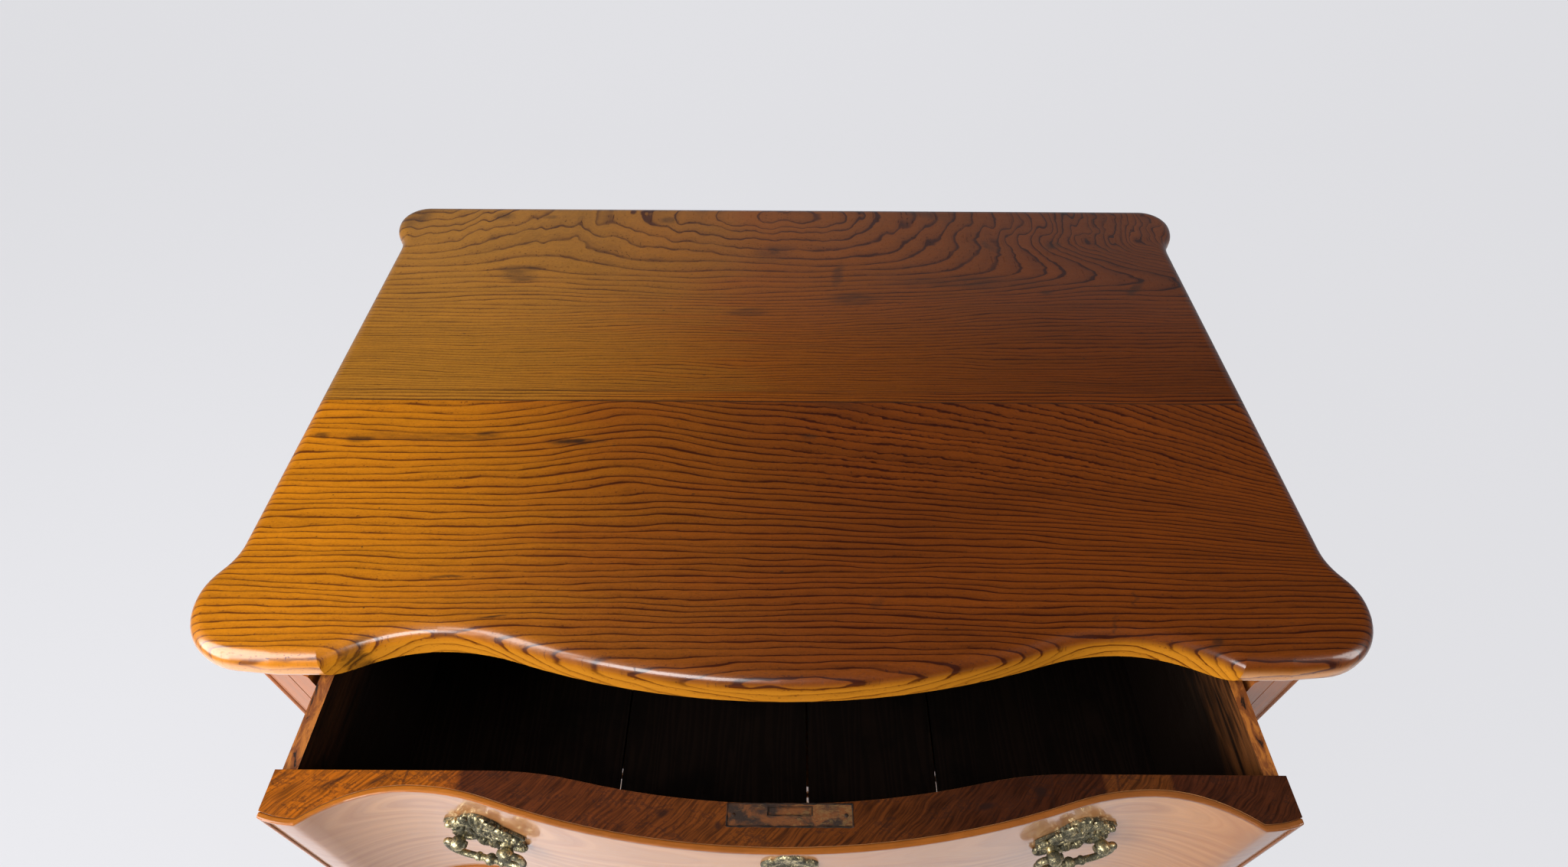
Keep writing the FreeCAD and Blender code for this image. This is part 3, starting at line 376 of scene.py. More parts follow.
def makeFront(level, seed):
    # Veneered face with grain ringed round a pale heart on each side, and an upright grained top edge.
    paint = Paint(level + "_front_walnut")
    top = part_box(level + "_drawer_front")[1].z * 1000
    upward = paint.upward()
    bend = (paint.noise((150, 80, 60), 2, 0.5, seed) - 0.5) * 0.5
    offX = (paint.sum("ABSOLUTE", paint.x) - front["heart"][0]) / front["ringSize"][0]
    offX = paint.sum("SMOOTH_MAX", offX, -1.5, 0.9)
    offZ = (paint.z - (top - front["heart"][1])) / front["ringSize"][1]
    reach = paint.sum("SQRT", offX * offX + offZ * offZ * 0.6 + 0.04) + bend
    rings = reach / front["ringGap"]
    grain = streaks(paint, rings, 160, 1.4, 3, seed + 2)
    fine = paint.noise((16, 16, 1.0), 2, 0.6, seed + 3)
    face = paint.mix(paint.soft(grain, 0.34, 0.76) * 0.8, front["pale"], front["warm"])
    face = paint.mix(ringLines(paint, rings, 0.3, 0.9) * 0.16, face, front["dark"])
    # Painted shade on the face towards both ends, where the flanks turn away from the light.
    shadedFlank = paint.soft(paint.sum("ABSOLUTE", paint.x), *front["shadedFlank"])
    face = paint.mix(shadedFlank * front["flankPaintedShade"], face, front["dark"])
    face = paint.shade(face, 0.84 + fine * 0.30)
    half = front["halfWide"]
    stops = tuple(((across + half) / (half * 2), colour) for across, colour in front["edge"])
    edge = paint.node("ShaderNodeValToRGB", {"stops": stops}, {0: (paint.x + half) / (half * 2)})
    lean = paint.x * 0.72 - paint.y * 0.70 + (paint.noise((40, 24, 30), 2, 0.5, seed + 5) - 0.5) * 9
    run = paint.node("ShaderNodeCombineXYZ", {}, {0: lean / 1.7, 1: (paint.x + paint.y) / 42, 2: seed})
    strokes = paint.clouds(run, 3)
    cloud = paint.noise((34, 14, 30), 3, 0.6, seed + 6)
    dirt = paint.soft(paint.noise((3.5, 2.2, 3), 3, 0.7, seed + 8) + (cloud - 0.5) * 0.8, 0.52, 0.66)
    edge = paint.shade(edge, 0.04 + paint.soft(strokes, 0.30, 0.68) * 0.72 + cloud * 0.62)
    edge = paint.mix(dirt * 0.5, edge, front["grime"])
    nicks = paint.specks((30, 12, 30), 0.10, 0.25, seed + 7)
    edge = paint.mix(nicks * 0.8, edge, front["edge"][-1][1])
    if level == "top":
        edge = paint.mix(patch(paint, paint.at, front["knots"]), edge, front["grime"])
    wood = paint.mix(upward, face, edge)
    leant = paint.x - paint.y * 0.12
    seam = paint.most(*(paint.lineAt(leant - at, 1.3, 0.4) for at in front["seams"]))
    wood = paint.mix(seam * 0.55 * upward, wood, front["seam"])
    wave = paint.noise((30, 30, 30), 1, 0.4, seed + 9)
    haze = paint.noise((60, 60, 60), 3, 0.6, seed + 11)
    return paint.finish(Base_Color=wood, Roughness=0.34 + (fine - 0.5) * 0.2 + upward * 0.1,
                        Normal=paint.bump(wave * 1.5 + strokes * upward * 0.6, 0.06),
                        Coat_Weight=(1 - upward * 0.8) * (0.64 + haze * 0.3), Coat_Roughness=0.09,
                        Specular_IOR_Level=0.15)


# The narrow bead round each drawer front takes its tone from the edge beside it
bead = {"left": (0.34, 0.100, 0.006), "middle": (0.235, 0.068, 0.006), "right": (0.19, 0.058, 0.010)}


def makeBead(seed):
    paint = Paint("walnut_bead")
    tone = paint.mix(paint.soft(paint.x, -280, -120), bead["left"], bead["middle"])
    tone = paint.mix(paint.soft(paint.x, 60, 260), tone, bead["right"])
    fibre = paint.noise((9, 1.2, 1.2), 3, 0.6, seed)
    wear = paint.noise((26, 10, 26), 3, 0.65, seed + 3)
    tone = paint.shade(tone, 0.50 + fibre * 0.45 + wear * 0.55)
    return paint.finish(Base_Color=tone, Roughness=0.36 + (fibre - 0.5) * 0.2,
                        Normal=paint.bump(fibre + wear, 0.08), Coat_Weight=0.55 + wear * 0.3,
                        Coat_Roughness=0.14, Specular_IOR_Level=0.3)


# Polished walnut of the case
walnut = {"light": (0.46, 0.175, 0.050), "warm": (0.30, 0.100, 0.026), "deep": (0.105, 0.030, 0.009),
          "rosy": (0.40, 0.106, 0.010), "line": (0.040, 0.011, 0.004)}
# Streaks are the grain's lengths along X, Y and Z in mm, and the swirl bends them
walnutPieces = {
    "posts": {"streaks": (16, 16, 260), "swirl": 14, "spacing": 4, "seed": 79, "gloss": 0.13,
              "tones": ("rosy", "warm")},
    "case": {"streaks": (40, 40, 260), "swirl": 22, "spacing": 6, "seed": 83, "gloss": 1.0,
             "tones": ("light", "deep")},
    "rail": {"streaks": (260, 40, 40), "swirl": 22, "spacing": 6, "seed": 89, "gloss": 1.0,
             "tones": ("light", "deep")},
}


def makeWalnut(name):
    look = walnutPieces[name]
    sizes, spacing, seed, gloss = (look[key] for key in ("streaks", "spacing", "seed", "gloss"))
    light, dark = (walnut[tone] for tone in look["tones"])
    paint = Paint("polished_walnut_" + name)
    bend = (paint.noise(tuple(size * 1.6 for size in sizes), 2, 0.5, seed) - 0.5) * look["swirl"]
    flow = (paint.noise(sizes, 2, 0.5, seed + 3) - 0.5) * spacing * 9 + bend
    lines = ringLines(paint, flow / spacing, 0.25, 0.85)
    broad = paint.noise(tuple(size * 0.9 for size in sizes), 3, 0.55, seed + 5, 0.6)
    fine = paint.noise(tuple(max(size * 0.05, 0.5) for size in sizes), 2, 0.6, seed + 7)
    pores = paint.soft(fine, 0.62, 0.74)
    wood = paint.mix(paint.soft(broad, 0.30, 0.72), light, walnut["warm"])
    wood = paint.mix(lines * 0.42, wood, dark)
    wood = paint.shade(wood, 0.78 + fine * 0.42)
    wood = paint.mix(pores * 0.45, wood, walnut["line"])
    wave = paint.noise((24, 24, 24), 1, 0.4, seed + 9)
    return paint.finish(Base_Color=wood, Roughness=0.34 + (fine - 0.5) * 0.18,
                        Normal=paint.bump(1 - pores * 0.5 + wave * 1.5, 0.05),
                        Coat_Weight=gloss * (1 - pores * 0.3), Coat_Roughness=0.08,
                        Specular_IOR_Level=0.10 + 0.25 * gloss)


# Bare woods inside and behind
# The near-black is painted shade on the inner faces of the sides and dark dirt on their worn top edges;
# the left side gets less of the orange painted light.
lining = {"shadeAndDirt": (0.0075, 0.0038, 0.0022), "orange": (0.125, 0.042, 0.011),
          "edge": (0.15, 0.040, 0.007), "worn": (0.34, 0.112, 0.016), "leftLitShare": 0.25}
bareWoods = {
    "lining": {"pale": (0.060, 0.022, 0.009), "dark": (0.010, 0.004, 0.002), "grime": 0.85},
    # The drawer bottoms are near-black: painted shadow inside the drawers.
    "bottom": {"pale": (0.011, 0.006, 0.004), "dark": (0.003, 0.002, 0.0015), "grime": 0.8},
    "pine": {"pale": (0.36, 0.205, 0.092), "dark": (0.14, 0.062, 0.026), "grime": 0.55},
}


def makeBareWood(name, look, along, spacing, seed, rough=0.72, shine=0.3):
    # A plain board with its grain along one axis: rings seen as straight or arched lines.
    paint = Paint(name)
    palette = bareWoods[look]
    first, second = (place for axis, place in zip("xyz", (paint.x, paint.y, paint.z)) if axis != along)
    long = tuple(300 if axis == along else 22 for axis in "xyz")
    thin = tuple(14 if axis == along else 0.7 for axis in "xyz")
    drift = (paint.noise(long, 2, 0.5, seed) - 0.5) * spacing * 7
    rings = (first * 0.8 + second * 0.6 + drift) / spacing
    lines = ringLines(paint, rings, 0.55, 0.98)
    fibre = paint.noise(thin, 2, 0.6, seed + 2)
    grime = paint.noise((70, 70, 70), 4, 0.62, seed + 5)
    scuff = paint.soft(paint.noise((30, 30, 30), 3, 0.7, seed + 7, 0.8), 0.58, 0.72)
    wood = paint.mix(lines * 0.55, palette["pale"], palette["dark"])
    wood = paint.shade(wood, 0.72 + fibre * 0.56)
    wood = paint.mix(paint.soft(grime, 0.46, 0.70) * palette["grime"], wood, palette["dark"])
    wood = paint.mix(scuff * 0.18, wood, palette["pale"])
    return paint.finish(Base_Color=wood, Roughness=rough + (fibre - 0.5) * 0.2,
                        Normal=paint.bump(fibre * 0.7 + lines * 0.3, 0.16), Specular_IOR_Level=shine)


def makeLining(level, seed):
    # Drawer sides: worn orange upper edge; below it, orange streaks that are painted light, fewer on the
    # left side, and near-black painted shade lower down.
    paint = Paint(level + "_side_lining")
    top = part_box(level + "_drawer_left_side")[1].z * 1000
    upward = paint.upward()
    fibre = paint.noise((0.8, 26, 2.2), 3, 0.6, seed)
    streak = paint.noise((6, 90, 9), 3, 0.62, seed + 2, 0.4)
    wear = paint.noise((7, 24, 7), 4, 0.7, seed + 4, 0.8)
    # Painted light and shade on the inner faces: orange near the top and towards the right, near-black
    # below and on the left.
    down = paint.soft(paint.z + (streak - 0.5) * 55, top - 62, top - 2)
    litTowardsRight = lining["leftLitShare"] + (1 - lining["leftLitShare"]) * paint.soft(paint.x, -300, 300)
    inner = paint.mix(down * litTowardsRight * paint.soft(streak, 0.32, 0.62), lining["shadeAndDirt"], lining["orange"])
    inner = paint.shade(inner, 0.65 + fibre * 0.7)
    edge = paint.mix(paint.soft(wear, 0.44, 0.62), lining["edge"], lining["worn"])
    edge = paint.mix(paint.soft(wear, 0.42, 0.34), edge, lining["shadeAndDirt"])
    wood = paint.mix(upward, inner, edge)
    return paint.finish(Base_Color=wood, Roughness=0.46 + (fibre - 0.5) * 0.3 + upward * 0.08,
                        Normal=paint.bump(fibre * 0.6 + wear * upward, 0.25), Coat_Weight=0.25 * upward,
                        Coat_Roughness=0.2, Specular_IOR_Level=0.3)


# Metals
brass = {"bright": (0.64, 0.53, 0.29), "mid": (0.30, 0.26, 0.155), "dirt": (0.026, 0.028, 0.021)}
iron = {"rust": (0.125, 0.040, 0.009), "dark": (0.022, 0.012, 0.008), "ochre": (0.145, 0.083, 0.024)}


def makeBrass(name, seed):
    paint = Paint(name)
    cloud = paint.noise((7, 7, 7), 4, 0.6, seed)
    fine = paint.noise((1.1, 1.1, 1.1), 3, 0.65, seed + 2)
    worn = paint.soft(cloud + (fine - 0.5) * 0.4, 0.42, 0.68)
    metal = paint.mix(worn, brass["mid"], brass["bright"])
    crust = paint.soft(fine + (cloud - 0.5) * 0.8, 0.63, 0.45)
    metal = paint.mix(crust * 0.8, metal, brass["dirt"])
    return paint.finish(Base_Color=metal, Metallic=1 - crust * 0.35,
                        Roughness=0.30 + crust * 0.3 + fine * 0.12,
                        Normal=paint.bump(fine * 0.6 + cloud * 0.5, 0.05))


def makeIron(name, seed, ochre, level=1.0):
    paint = Paint(name)
    cloud = paint.noise((16, 12, 12), 4, 0.62, seed, 0.6)
    fine = paint.noise((1.6, 1.1, 1.1), 4, 0.7, seed + 2)
    pits = paint.soft(fine, 0.56, 0.70)
    skin = paint.mix(paint.soft(cloud, 0.36, 0.6), iron["rust"], iron["dark"])
    rub = paint.noise((6, 2.4, 2.4), 4, 0.7, seed + 5, 1.0) + (paint.x - 7) * 0.0022
    yellow = paint.soft(rub, 0.56, 0.62)
    skin = paint.mix(yellow * ochre, skin, iron["ochre"])
    skin = paint.shade(paint.mix(pits * 0.6, skin, iron["dark"]), level)
    return paint.finish(Base_Color=skin, Metallic=0.14 - yellow * 0.12, Roughness=0.55 + fine * 0.3,
                        Normal=paint.bump(fine - pits * 0.5, 0.22), Specular_IOR_Level=0.3)


materials = {
    "frontElm": makeElm("front"),
    "stripElm": makeElm("strip"),
    "rearElm": makeElm("rear"),
    "postWalnut": makeWalnut("posts"),
    "caseWalnut": makeWalnut("case"),
    "railWalnut": makeWalnut("rail"),
    "beadWalnut": makeBead(97),
    "liningBack": makeBareWood("drawer_lining_back", "lining", "x", spacing=3.2, seed=103, rough=0.6),
    # near-black drawer bottoms, painted shadow inside the drawers
    "bottom": makeBareWood("drawer_bottom", "bottom", "y", spacing=6, seed=107, rough=0.85, shine=0.06),
    "pine": makeBareWood("bare_pine", "pine", "x", spacing=6.5, seed=109),
    "pineUpright": makeBareWood("bare_pine_upright", "pine", "z", spacing=6.5, seed=113),
    "pineDeep": makeBareWood("bare_pine_deep", "pine", "y", spacing=6.5, seed=127),
    "brass": makeBrass("old_cast_brass", seed=131),
    "iron": makeIron("rusted_lock_iron", seed=139, ochre=0.42),
    "nails": makeIron("forged_nail_iron", seed=149, ochre=0.1),
    # near-black iron for the painted shadow in the lock gaps and for the nail heads
    "dirt": makeIron("gap_shadow_and_nail_iron", seed=157, ochre=0.25, level=0.22),
}
for number, level in enumerate(levels):
    materials[level + "Front"] = makeFront(level, 161 + 17 * number)
    materials[level + "Lining"] = makeLining(level, 211 + 13 * number)
print("finishes made:", len(materials))

# The nodes of the frame that each finish is for
finishes = {
    "frontElm": ["top_front_board"],
    "stripElm": ["top_joint_strip"],
    "rearElm": ["top_rear_board"],
    "postWalnut": ["left_front_post", "right_front_post"],
    "caseWalnut": ["left_rear_post", "right_rear_post", "left_side_panel", "right_side_panel"],
    "railWalnut": ["base_rail", "lower_rail", "upper_rail", "front_base_moulding", "side_base_mouldings",
                   "left_front_foot", "right_front_foot", "left_rear_foot", "right_rear_foot"],
    "pine": ["back_boards", "case_bottom"],
    "pineDeep": ["drawer_runners", "drawer_guides"],
    "pineUpright": ["foot_blocks"],
    "nails": ["back_nails"],
}
drawerFinishes = {
    "beadWalnut": ["_drawer_beading"], "liningBack": ["_drawer_back"], "bottom": ["_drawer_bottom"],
    "iron": ["_drawer_lock", "_lock_bolt"],
    "brass": ["_handle_mounts", "_left_bail", "_right_bail", "_escutcheon"],
}
for level in levels:
    finishes[level + "Front"] = [level + "_drawer_front"]
    finishes[level + "Lining"] = [level + "_drawer_left_side", level + "_drawer_right_side"]
    for finish, parts in drawerFinishes.items():
        finishes.setdefault(finish, []).extend(level + part for part in parts)
for finish, names in finishes.items():
    for name in names:
        cadNodes[name].data.materials.clear()
        cadNodes[name].data.materials.append(materials[finish])

# Edges worn round on the drawers, in mm; the even light keeps long faces free of streaks at small edges
wornEdges = {"widths": {"_drawer_beading": 1.3, "_drawer_front": 0.9}, "segments": 3, "sharperThan": 50,
             "weld": 0.01}
for level in levels:
    for part, width in wornEdges["widths"].items():
        piece = cadNodes[level + part]
        weld = piece.modifiers.new("weld", "WELD")
        weld.merge_threshold = wornEdges["weld"] / 1000
        worn = piece.modifiers.new("worn edges", "BEVEL")
        worn.width = width / 1000
        worn.segments = wornEdges["segments"]
        worn.limit_method = "ANGLE"
        worn.angle_limit = math.radians(wornEdges["sharperThan"])
        worn.use_clamp_overlap = True
        even = piece.modifiers.new("even light", "WEIGHTED_NORMAL")
        even.keep_sharp = True
print("frame finished")


def addObject(name, data):
    made = bpy.data.objects.new(name, data)
    bpy.context.scene.collection.objects.link(made)
    return made


# Small forms laid on a surface, in mm across, up and out of it
class Ornament:
    def __init__(self, name, place):
        self.name = name
        self.place = place  # turns (across, up, out) in mm into a point of the frame
        self.points = []
        self.faces = []

    def sheet(self, rows, closed=False):
        # A skin through rows of points; closed joins the last point of each row to its first.
        first = len(self.points)
        wide = len(rows[0])
        self.points += [self.place(*point) for row in rows for point in row]
        for row in range(len(rows) - 1):
            for step in range(wide if closed else wide - 1):
                a = first + row * wide + step
                b = first + row * wide + (step + 1) % wide
                self.faces.append((a, b, b + wide, a + wide))

    def ball(self, at, size, turn=0.0, steps=10):
        wide, tall, thick = size
        rows = []
        for ring in range(steps // 2 + 1):
            lean = math.pi * ring / (steps // 2)
            row = []
            for step in range(steps):
                around = math.tau * step / steps
                x = wide * math.sin(lean) * math.cos(around)
                y = tall * math.sin(lean) * math.sin(around)
                row.append((at[0] + x * math.cos(turn) - y * math.sin(turn),
                            at[1] + x * math.sin(turn) + y * math.cos(turn),
                            at[2] + thick * math.cos(lean)))
            rows.append(row)
        self.sheet(rows, True)

    def scroll(self, route, steps=10, sides=8):
        # A round stroke along (across, up, out, radius) stations, drawn with a smooth curve.
        rows = []
        for (x, y, out, radius), run in withHeading(smoothRoute(route, steps)):
            row = []
            for side in range(sides):
                around = math.tau * side / sides
                shift = radius * math.cos(around)
                row.append((x - run.y * shift, y + run.x * shift, out + radius * math.sin(around)))
            rows.append(row)
        self.sheet(rows, True)
        for end in (rows[0], rows[-1]):
            middle = tuple(sum(point[axis] for point in end) / sides for axis in range(3))
            self.sheet([[middle] * sides, end], True)

    def leaf(self, route, width, lift, lobes=4, sides=6, steps=20):
        # A lobed leaf along (across, up, out) stations, arched from edge to edge, with a sunk midrib.
        stations = smoothRoute(route, steps)
        rows = []
        for number, ((x, y, out), run) in enumerate(withHeading(stations)):
            along = number / (len(stations) - 1)
            swell = math.sin(math.pi * min(along * 0.92 + 0.08, 1)) ** 0.7
            lobe = 0.72 + 0.28 * abs(math.sin(math.pi * lobes * along))
            half = width * swell * lobe + 0.2
            row = []
            for side in range(-sides, sides + 1):
                across = side / sides
                vein = 0.22 * abs(math.sin(math.pi * (lobes * along + abs(across) * 1.6)))
                rise = lift * swell * (1 - across * across) ** 0.5 * (0.78 + vein)
                rise -= 0.5 * lift * (side == 0)
                shift = half * across
                row.append((x - run.y * shift, y + run.x * shift, out + rise))
            rows.append(row)
        self.sheet(rows)

    def fan(self, at, reach, spread, ribs, lift, steps=8):
        # A shell: ribs that open upwards from a root, scalloped at the rim.
        rows = []
        for ring in range(steps + 1):
            far = ring / steps
            row = []
            for step in range(ribs * 6 + 1):
                share = step / (ribs * 6)
                rib = abs(math.sin(math.pi * ribs * share))
                turn = math.radians(90 + spread * (0.5 - share))
                length = reach * far * (0.88 + 0.12 * rib)
                rise = lift * math.sin(math.pi * (0.12 + 0.80 * far)) * (0.45 + 0.55 * rib)
                row.append((at[0] + length * math.cos(turn), at[1] + length * math.sin(turn),
                            at[2] + rise))
            rows.append(row)
        rim = [(x, y, 0) for x, y, _ in rows[-1]]
        self.sheet(rows + [rim])

    def build(self, body, material):
        mesh = bpy.data.meshes.new(self.name)
        mesh.from_pydata(self.points, [], self.faces)
        mesh.validate()
        mesh.shade_smooth()
        piece = addObject(self.name, mesh)
        weld = piece.modifiers.new("weld", "WELD")
        weld.merge_threshold = 0.00002  # closes the ends of balls and scrolls
        mesh.materials.append(materials[material])
        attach(piece, body)
        return piece


def smoothRoute(stations, steps):
    # Points on a smooth curve through the stations, with their other values eased along.
    result = []
    for number in range(len(stations) - 1):
        near = [stations[min(max(number + shift, 0), len(stations) - 1)] for shift in (-1, 0, 1, 2)]
        for step in range(steps):
            t = step / steps
            result.append(tuple(0.5 * (2 * b + (c - a) * t + (2 * a - 5 * b + 4 * c - d) * t * t
                                       + (3 * b - a - 3 * c + d) * t ** 3)
                                for a, b, c, d in zip(*near)))
    result.append(tuple(stations[-1]))
    return result


def withHeading(stations):
    # Each station with its direction, across and up.
    last = len(stations) - 1
    for number, station in enumerate(stations):
        before = stations[max(number - 1, 0)]
        after = stations[min(number + 1, last)]
        yield station, Vector((after[0] - before[0], after[1] - before[1])).normalized()


def faceAt(level):
    # Finds the face of a drawer front by looking straight back at it; the answer is kept per mm.
    front = cadNodes[level + "_drawer_front"]
    low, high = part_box(level + "_drawer_front")
    height = (low.z + high.z) / 2
    known = {}

    def depth(x):
        key = round(x * 1000)
        if key not in known:
            start = Vector((key / 1000, low.y - 0.1, height))
            hit, point, _, _ = front.ray_cast(start, Vector((0, 1, 0)))
            known[key] = point.y if hit else low.y
        return known[key]
    return depth


# Handle mounts, in mm: places are (across, up, out). The upper forms are placed from the plate's middle,
# the lower scroll from its post, and the lower leaves from the middle between the posts.
mount = {
    "plateOut": 1.6, "postShare": 0.33,
    "crownUp": 30, "crownReach": 13, "crownRibs": 7, "crownSpread": 150, "crownLift": 5.5,
    "crownBud": (3.6, 3.2, 3.4),
    "upperLeaves": ((((3, 17, 0), (9, 24, 1.5), (11, 31, 2.5), (7, 34, 3)), 4.6, 3.4),
                    (((6, 15, 0), (14, 19, 1.5), (21, 17, 2), (24, 12, 2)), 4.4, 3.6)),
    "buds": (((13, 26.5, 2), (2.3, 2.3, 2.6)), ((19.5, 21.5, 1.8), (1.9, 1.9, 2.2))),
    "sideBall": (27.5, 10.5, 3.6),
    "bossRadius": 8.5, "petals": 8, "bossCap": (4.9, 4.9, 3.2),
    "lowerScroll": ((6.5, -5, 0, 1.4), (8, -9, 0.7, 2.2), (4, -15, 1, 2.7), (-4, -17, 1.2, 2.5),
                    (-9, -12.5, 1, 1.9), (-6, -9.5, 0.7, 1.3)),
    "lowerLeaf": (((14, -16, 0), (9, -22, 1.2), (3, -28, 1)), 4.6, 3.4),
    "tailLeaf": (((0, -14, 0), (0, -22, 1.5), (0, -31.5, 0)), 5, 3.8),
    "tailBud": (-33, 2.4),
    "cartoucheWide": 12.5, "cartoucheTall": 8, "cartoucheUp": 3, "cartoucheLift": 4.2, "ribs": 7,
    "rimGap": 2, "rimRadius": 1.7,
}


def makeMount(level, word):
    joint = next(j for j in frame["joints"] if j["name"] == f"{level}_{word}_bail_swing")
    pin = Vector(joint["pos_m"])
    across = Vector(joint["axis"]) * -1
    outward = Vector((across.y, -across.x, 0))
    middle = sum(corner.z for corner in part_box(level + "_handle_mounts")) / 2
    depth = faceAt(level)
    studDepth = (depth(pin.x) - pin.y) / -outward.y

    def place(u, v, w):
        # Across and out are level; where the face bows, the form follows it.
        spot = pin - outward * studDepth + across * (u / 1000)
        seat = (depth(spot.x) - spot.y) / outward.y
        return spot + outward * (seat + w / 1000) + Vector((0, 0, middle - pin.z + v / 1000))

    cast = Ornament(f"{level}_{word}_mount_relief", place)
    m = mount
    base = m["plateOut"]
    left, right = (corner.x * 1000 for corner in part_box(f"{level}_{word}_bail"))
    post = (right - left) * m["postShare"]
    drop = (pin.z - middle) * 1000
    root = m["crownUp"] - m["crownReach"]
    cast.fan((0, root, base), m["crownReach"] + 5, m["crownSpread"], m["crownRibs"], m["crownLift"])
    cast.ball((0, root - 1, base + 3), m["crownBud"])
    for turn in (-1, 1):
        for stations, width, lift in m["upperLeaves"]:
            cast.leaf([(turn * x, y, base + out) for x, y, out in stations], width, lift)
        for (x, y, out), size in m["buds"]:
            cast.ball((turn * x, y, base + out), size)
        x, y, size = m["sideBall"]
        cast.scroll([(turn * (post - 2), y - 4, base, 2.6), (turn * (x - 5), y - 1.5, base + 0.8, 2.0),
                     (turn * (x - 2.5), y, base + 1.4, 1.5)])
        cast.ball((turn * x, y, base + 1.8), (size, size * 0.9, size * 0.9))
        for petal in range(m["petals"]):
            bearing = math.tau * (petal + 0.5) / m["petals"]
            far = m["bossRadius"] * 0.62
            cast.ball((turn * post + far * math.cos(bearing), drop + far * math.sin(bearing),
                       base + 0.9), (m["bossRadius"] * 0.42, m["bossRadius"] * 0.24, 2.6), bearing, 8)
        cast.ball((turn * post, drop, base + 1.5), m["bossCap"], 0, 12)
        cast.scroll([(turn * (post + x), drop + y, base + out, radius)
                     for x, y, out, radius in m["lowerScroll"]])
        stations, width, lift = m["lowerLeaf"]
        cast.leaf([(turn * x, drop + y, base + out) for x, y, out in stations], width, lift)
    stations, width, lift = m["tailLeaf"]
    cast.leaf([(x, drop + y, base + out) for x, y, out in stations], width, lift)
    below, size = m["tailBud"]
    cast.ball((0, drop + below, base + 0.6), (size, size, size))
    addCartouche(cast, base)
    cast.build(level + "_drawer", "brass")


def addCartouche(cast, base):
    # A ribbed shield in the middle of the plate, with a round rim about it.
    m = mount
    rows = []
    for ring in range(9):
        up = m["cartoucheTall"] * (ring / 4 - 1)
        arch = max(1 - (abs(up) / m["cartoucheTall"]) ** 3, 0)
        half = m["cartoucheWide"] * (0.82 + 0.18 * arch)
        row = []
        for step in range(m["ribs"] * 6 + 1):
            share = step / (m["ribs"] * 6) * 2 - 1
            rib = abs(math.sin(math.pi * step / 6))
            rise = m["cartoucheLift"] * arch ** 0.5 * (1 - share ** 4) * (0.55 + 0.45 * rib)
            row.append((half * share, up + m["cartoucheUp"], base + rise))
        rows.append(row)
    cast.sheet(rows)
    wide, tall = m["cartoucheWide"] + m["rimGap"], m["cartoucheTall"] + m["rimGap"]
    rim = []
    for step in range(17):
        run, climb = math.cos(math.tau * step / 16), math.sin(math.tau * step / 16)
        rim.append((wide * math.copysign(abs(run) ** 0.7, run),
                    m["cartoucheUp"] + tall * math.copysign(abs(climb) ** 0.7, climb),
                    base + 1.6, m["rimRadius"]))
    cast.scroll(rim, 4)


for level in levels:
    for word in ("left", "right"):
        makeMount(level, word)
print("handle reliefs made")


# Escutcheons: a cast cartouche round each keyhole, in mm
escutcheon = {"keyRound": 3.5, "keyWide": 1.6, "keyDrop": 9.0, "lobes": 6, "lobeDepth": 0.20,
              "flutes": 28, "fluteDepth": 0.22, "steps": 168, "margin": 0.2, "highest": 3.3,
              "profile": ((0, 0.1), (0, 1.7), (0.05, 2.5), (0.12, 2.5), (0.18, 1.4), (0.30, 1.0),
                          (0.45, 1.3), (0.60, 1.9), (0.72, 2.4), (0.80, 1.9), (0.86, 1.9), (0.92, 2.9),
                          (0.97, 2.3), (1, 1.1), (1, 0.1))}


def makeEscutcheon(level):
    low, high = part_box(level + "_escutcheon")
    centre = (low + high) / 2
    e = escutcheon
    halfWide, halfTall = (high.x - low.x) * 500 - e["margin"], (high.z - low.z) * 500 - e["margin"]
    depth = faceAt(level)

    def place(u, v, w):
        across = centre.x + u / 1000
        return Vector((across, depth(across) - w / 1000, centre.z + v / 1000))

    cast = Ornament(level + "_escutcheon_relief", place)
    rows = []
    for far, rise in e["profile"]:
        row = []
        for step in range(e["steps"]):
            turn = math.tau * step / e["steps"]
            run, climb = math.cos(turn), math.sin(turn)
            inner = e["keyRound"]
            if climb < 0:
                inner = max(inner, min(e["keyDrop"], e["keyWide"] / max(abs(run), 0.01)))
            lobe = abs(math.cos(e["lobes"] * (turn - math.pi / 2) / 2)) ** 0.6
            outer = 1 - e["lobeDepth"] + e["lobeDepth"] * lobe
            outer /= math.hypot(run / halfWide, climb / halfTall)
            flute = 1 + e["fluteDepth"] * math.cos(e["flutes"] * turn) * math.sin(math.pi * far)
            reach = inner + (outer - inner) * far
            row.append((reach * run, reach * climb, min(rise * flute, e["highest"])))
        rows.append(row)
    cast.sheet(rows, True)
    relief = cast.build(level + "_drawer", "brass")
    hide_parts(level + "_escutcheon")


for level in levels:
    makeEscutcheon(level)
print("escutcheons made")


# Painted shadow: dark strokes in the gaps round each lock's edge plate and its bolt slot, and a nail at
# each end of the plate, in mm
lockTrim = {"dirt": 0.62, "slotShadow": 0.38, "slotGap": 0.85, "sink": 0.1, "step": 3.0,
            "nailInset": 4.6, "nailRadius": 1.5, "nailRise": 0.8, "nailSink": 0.2}


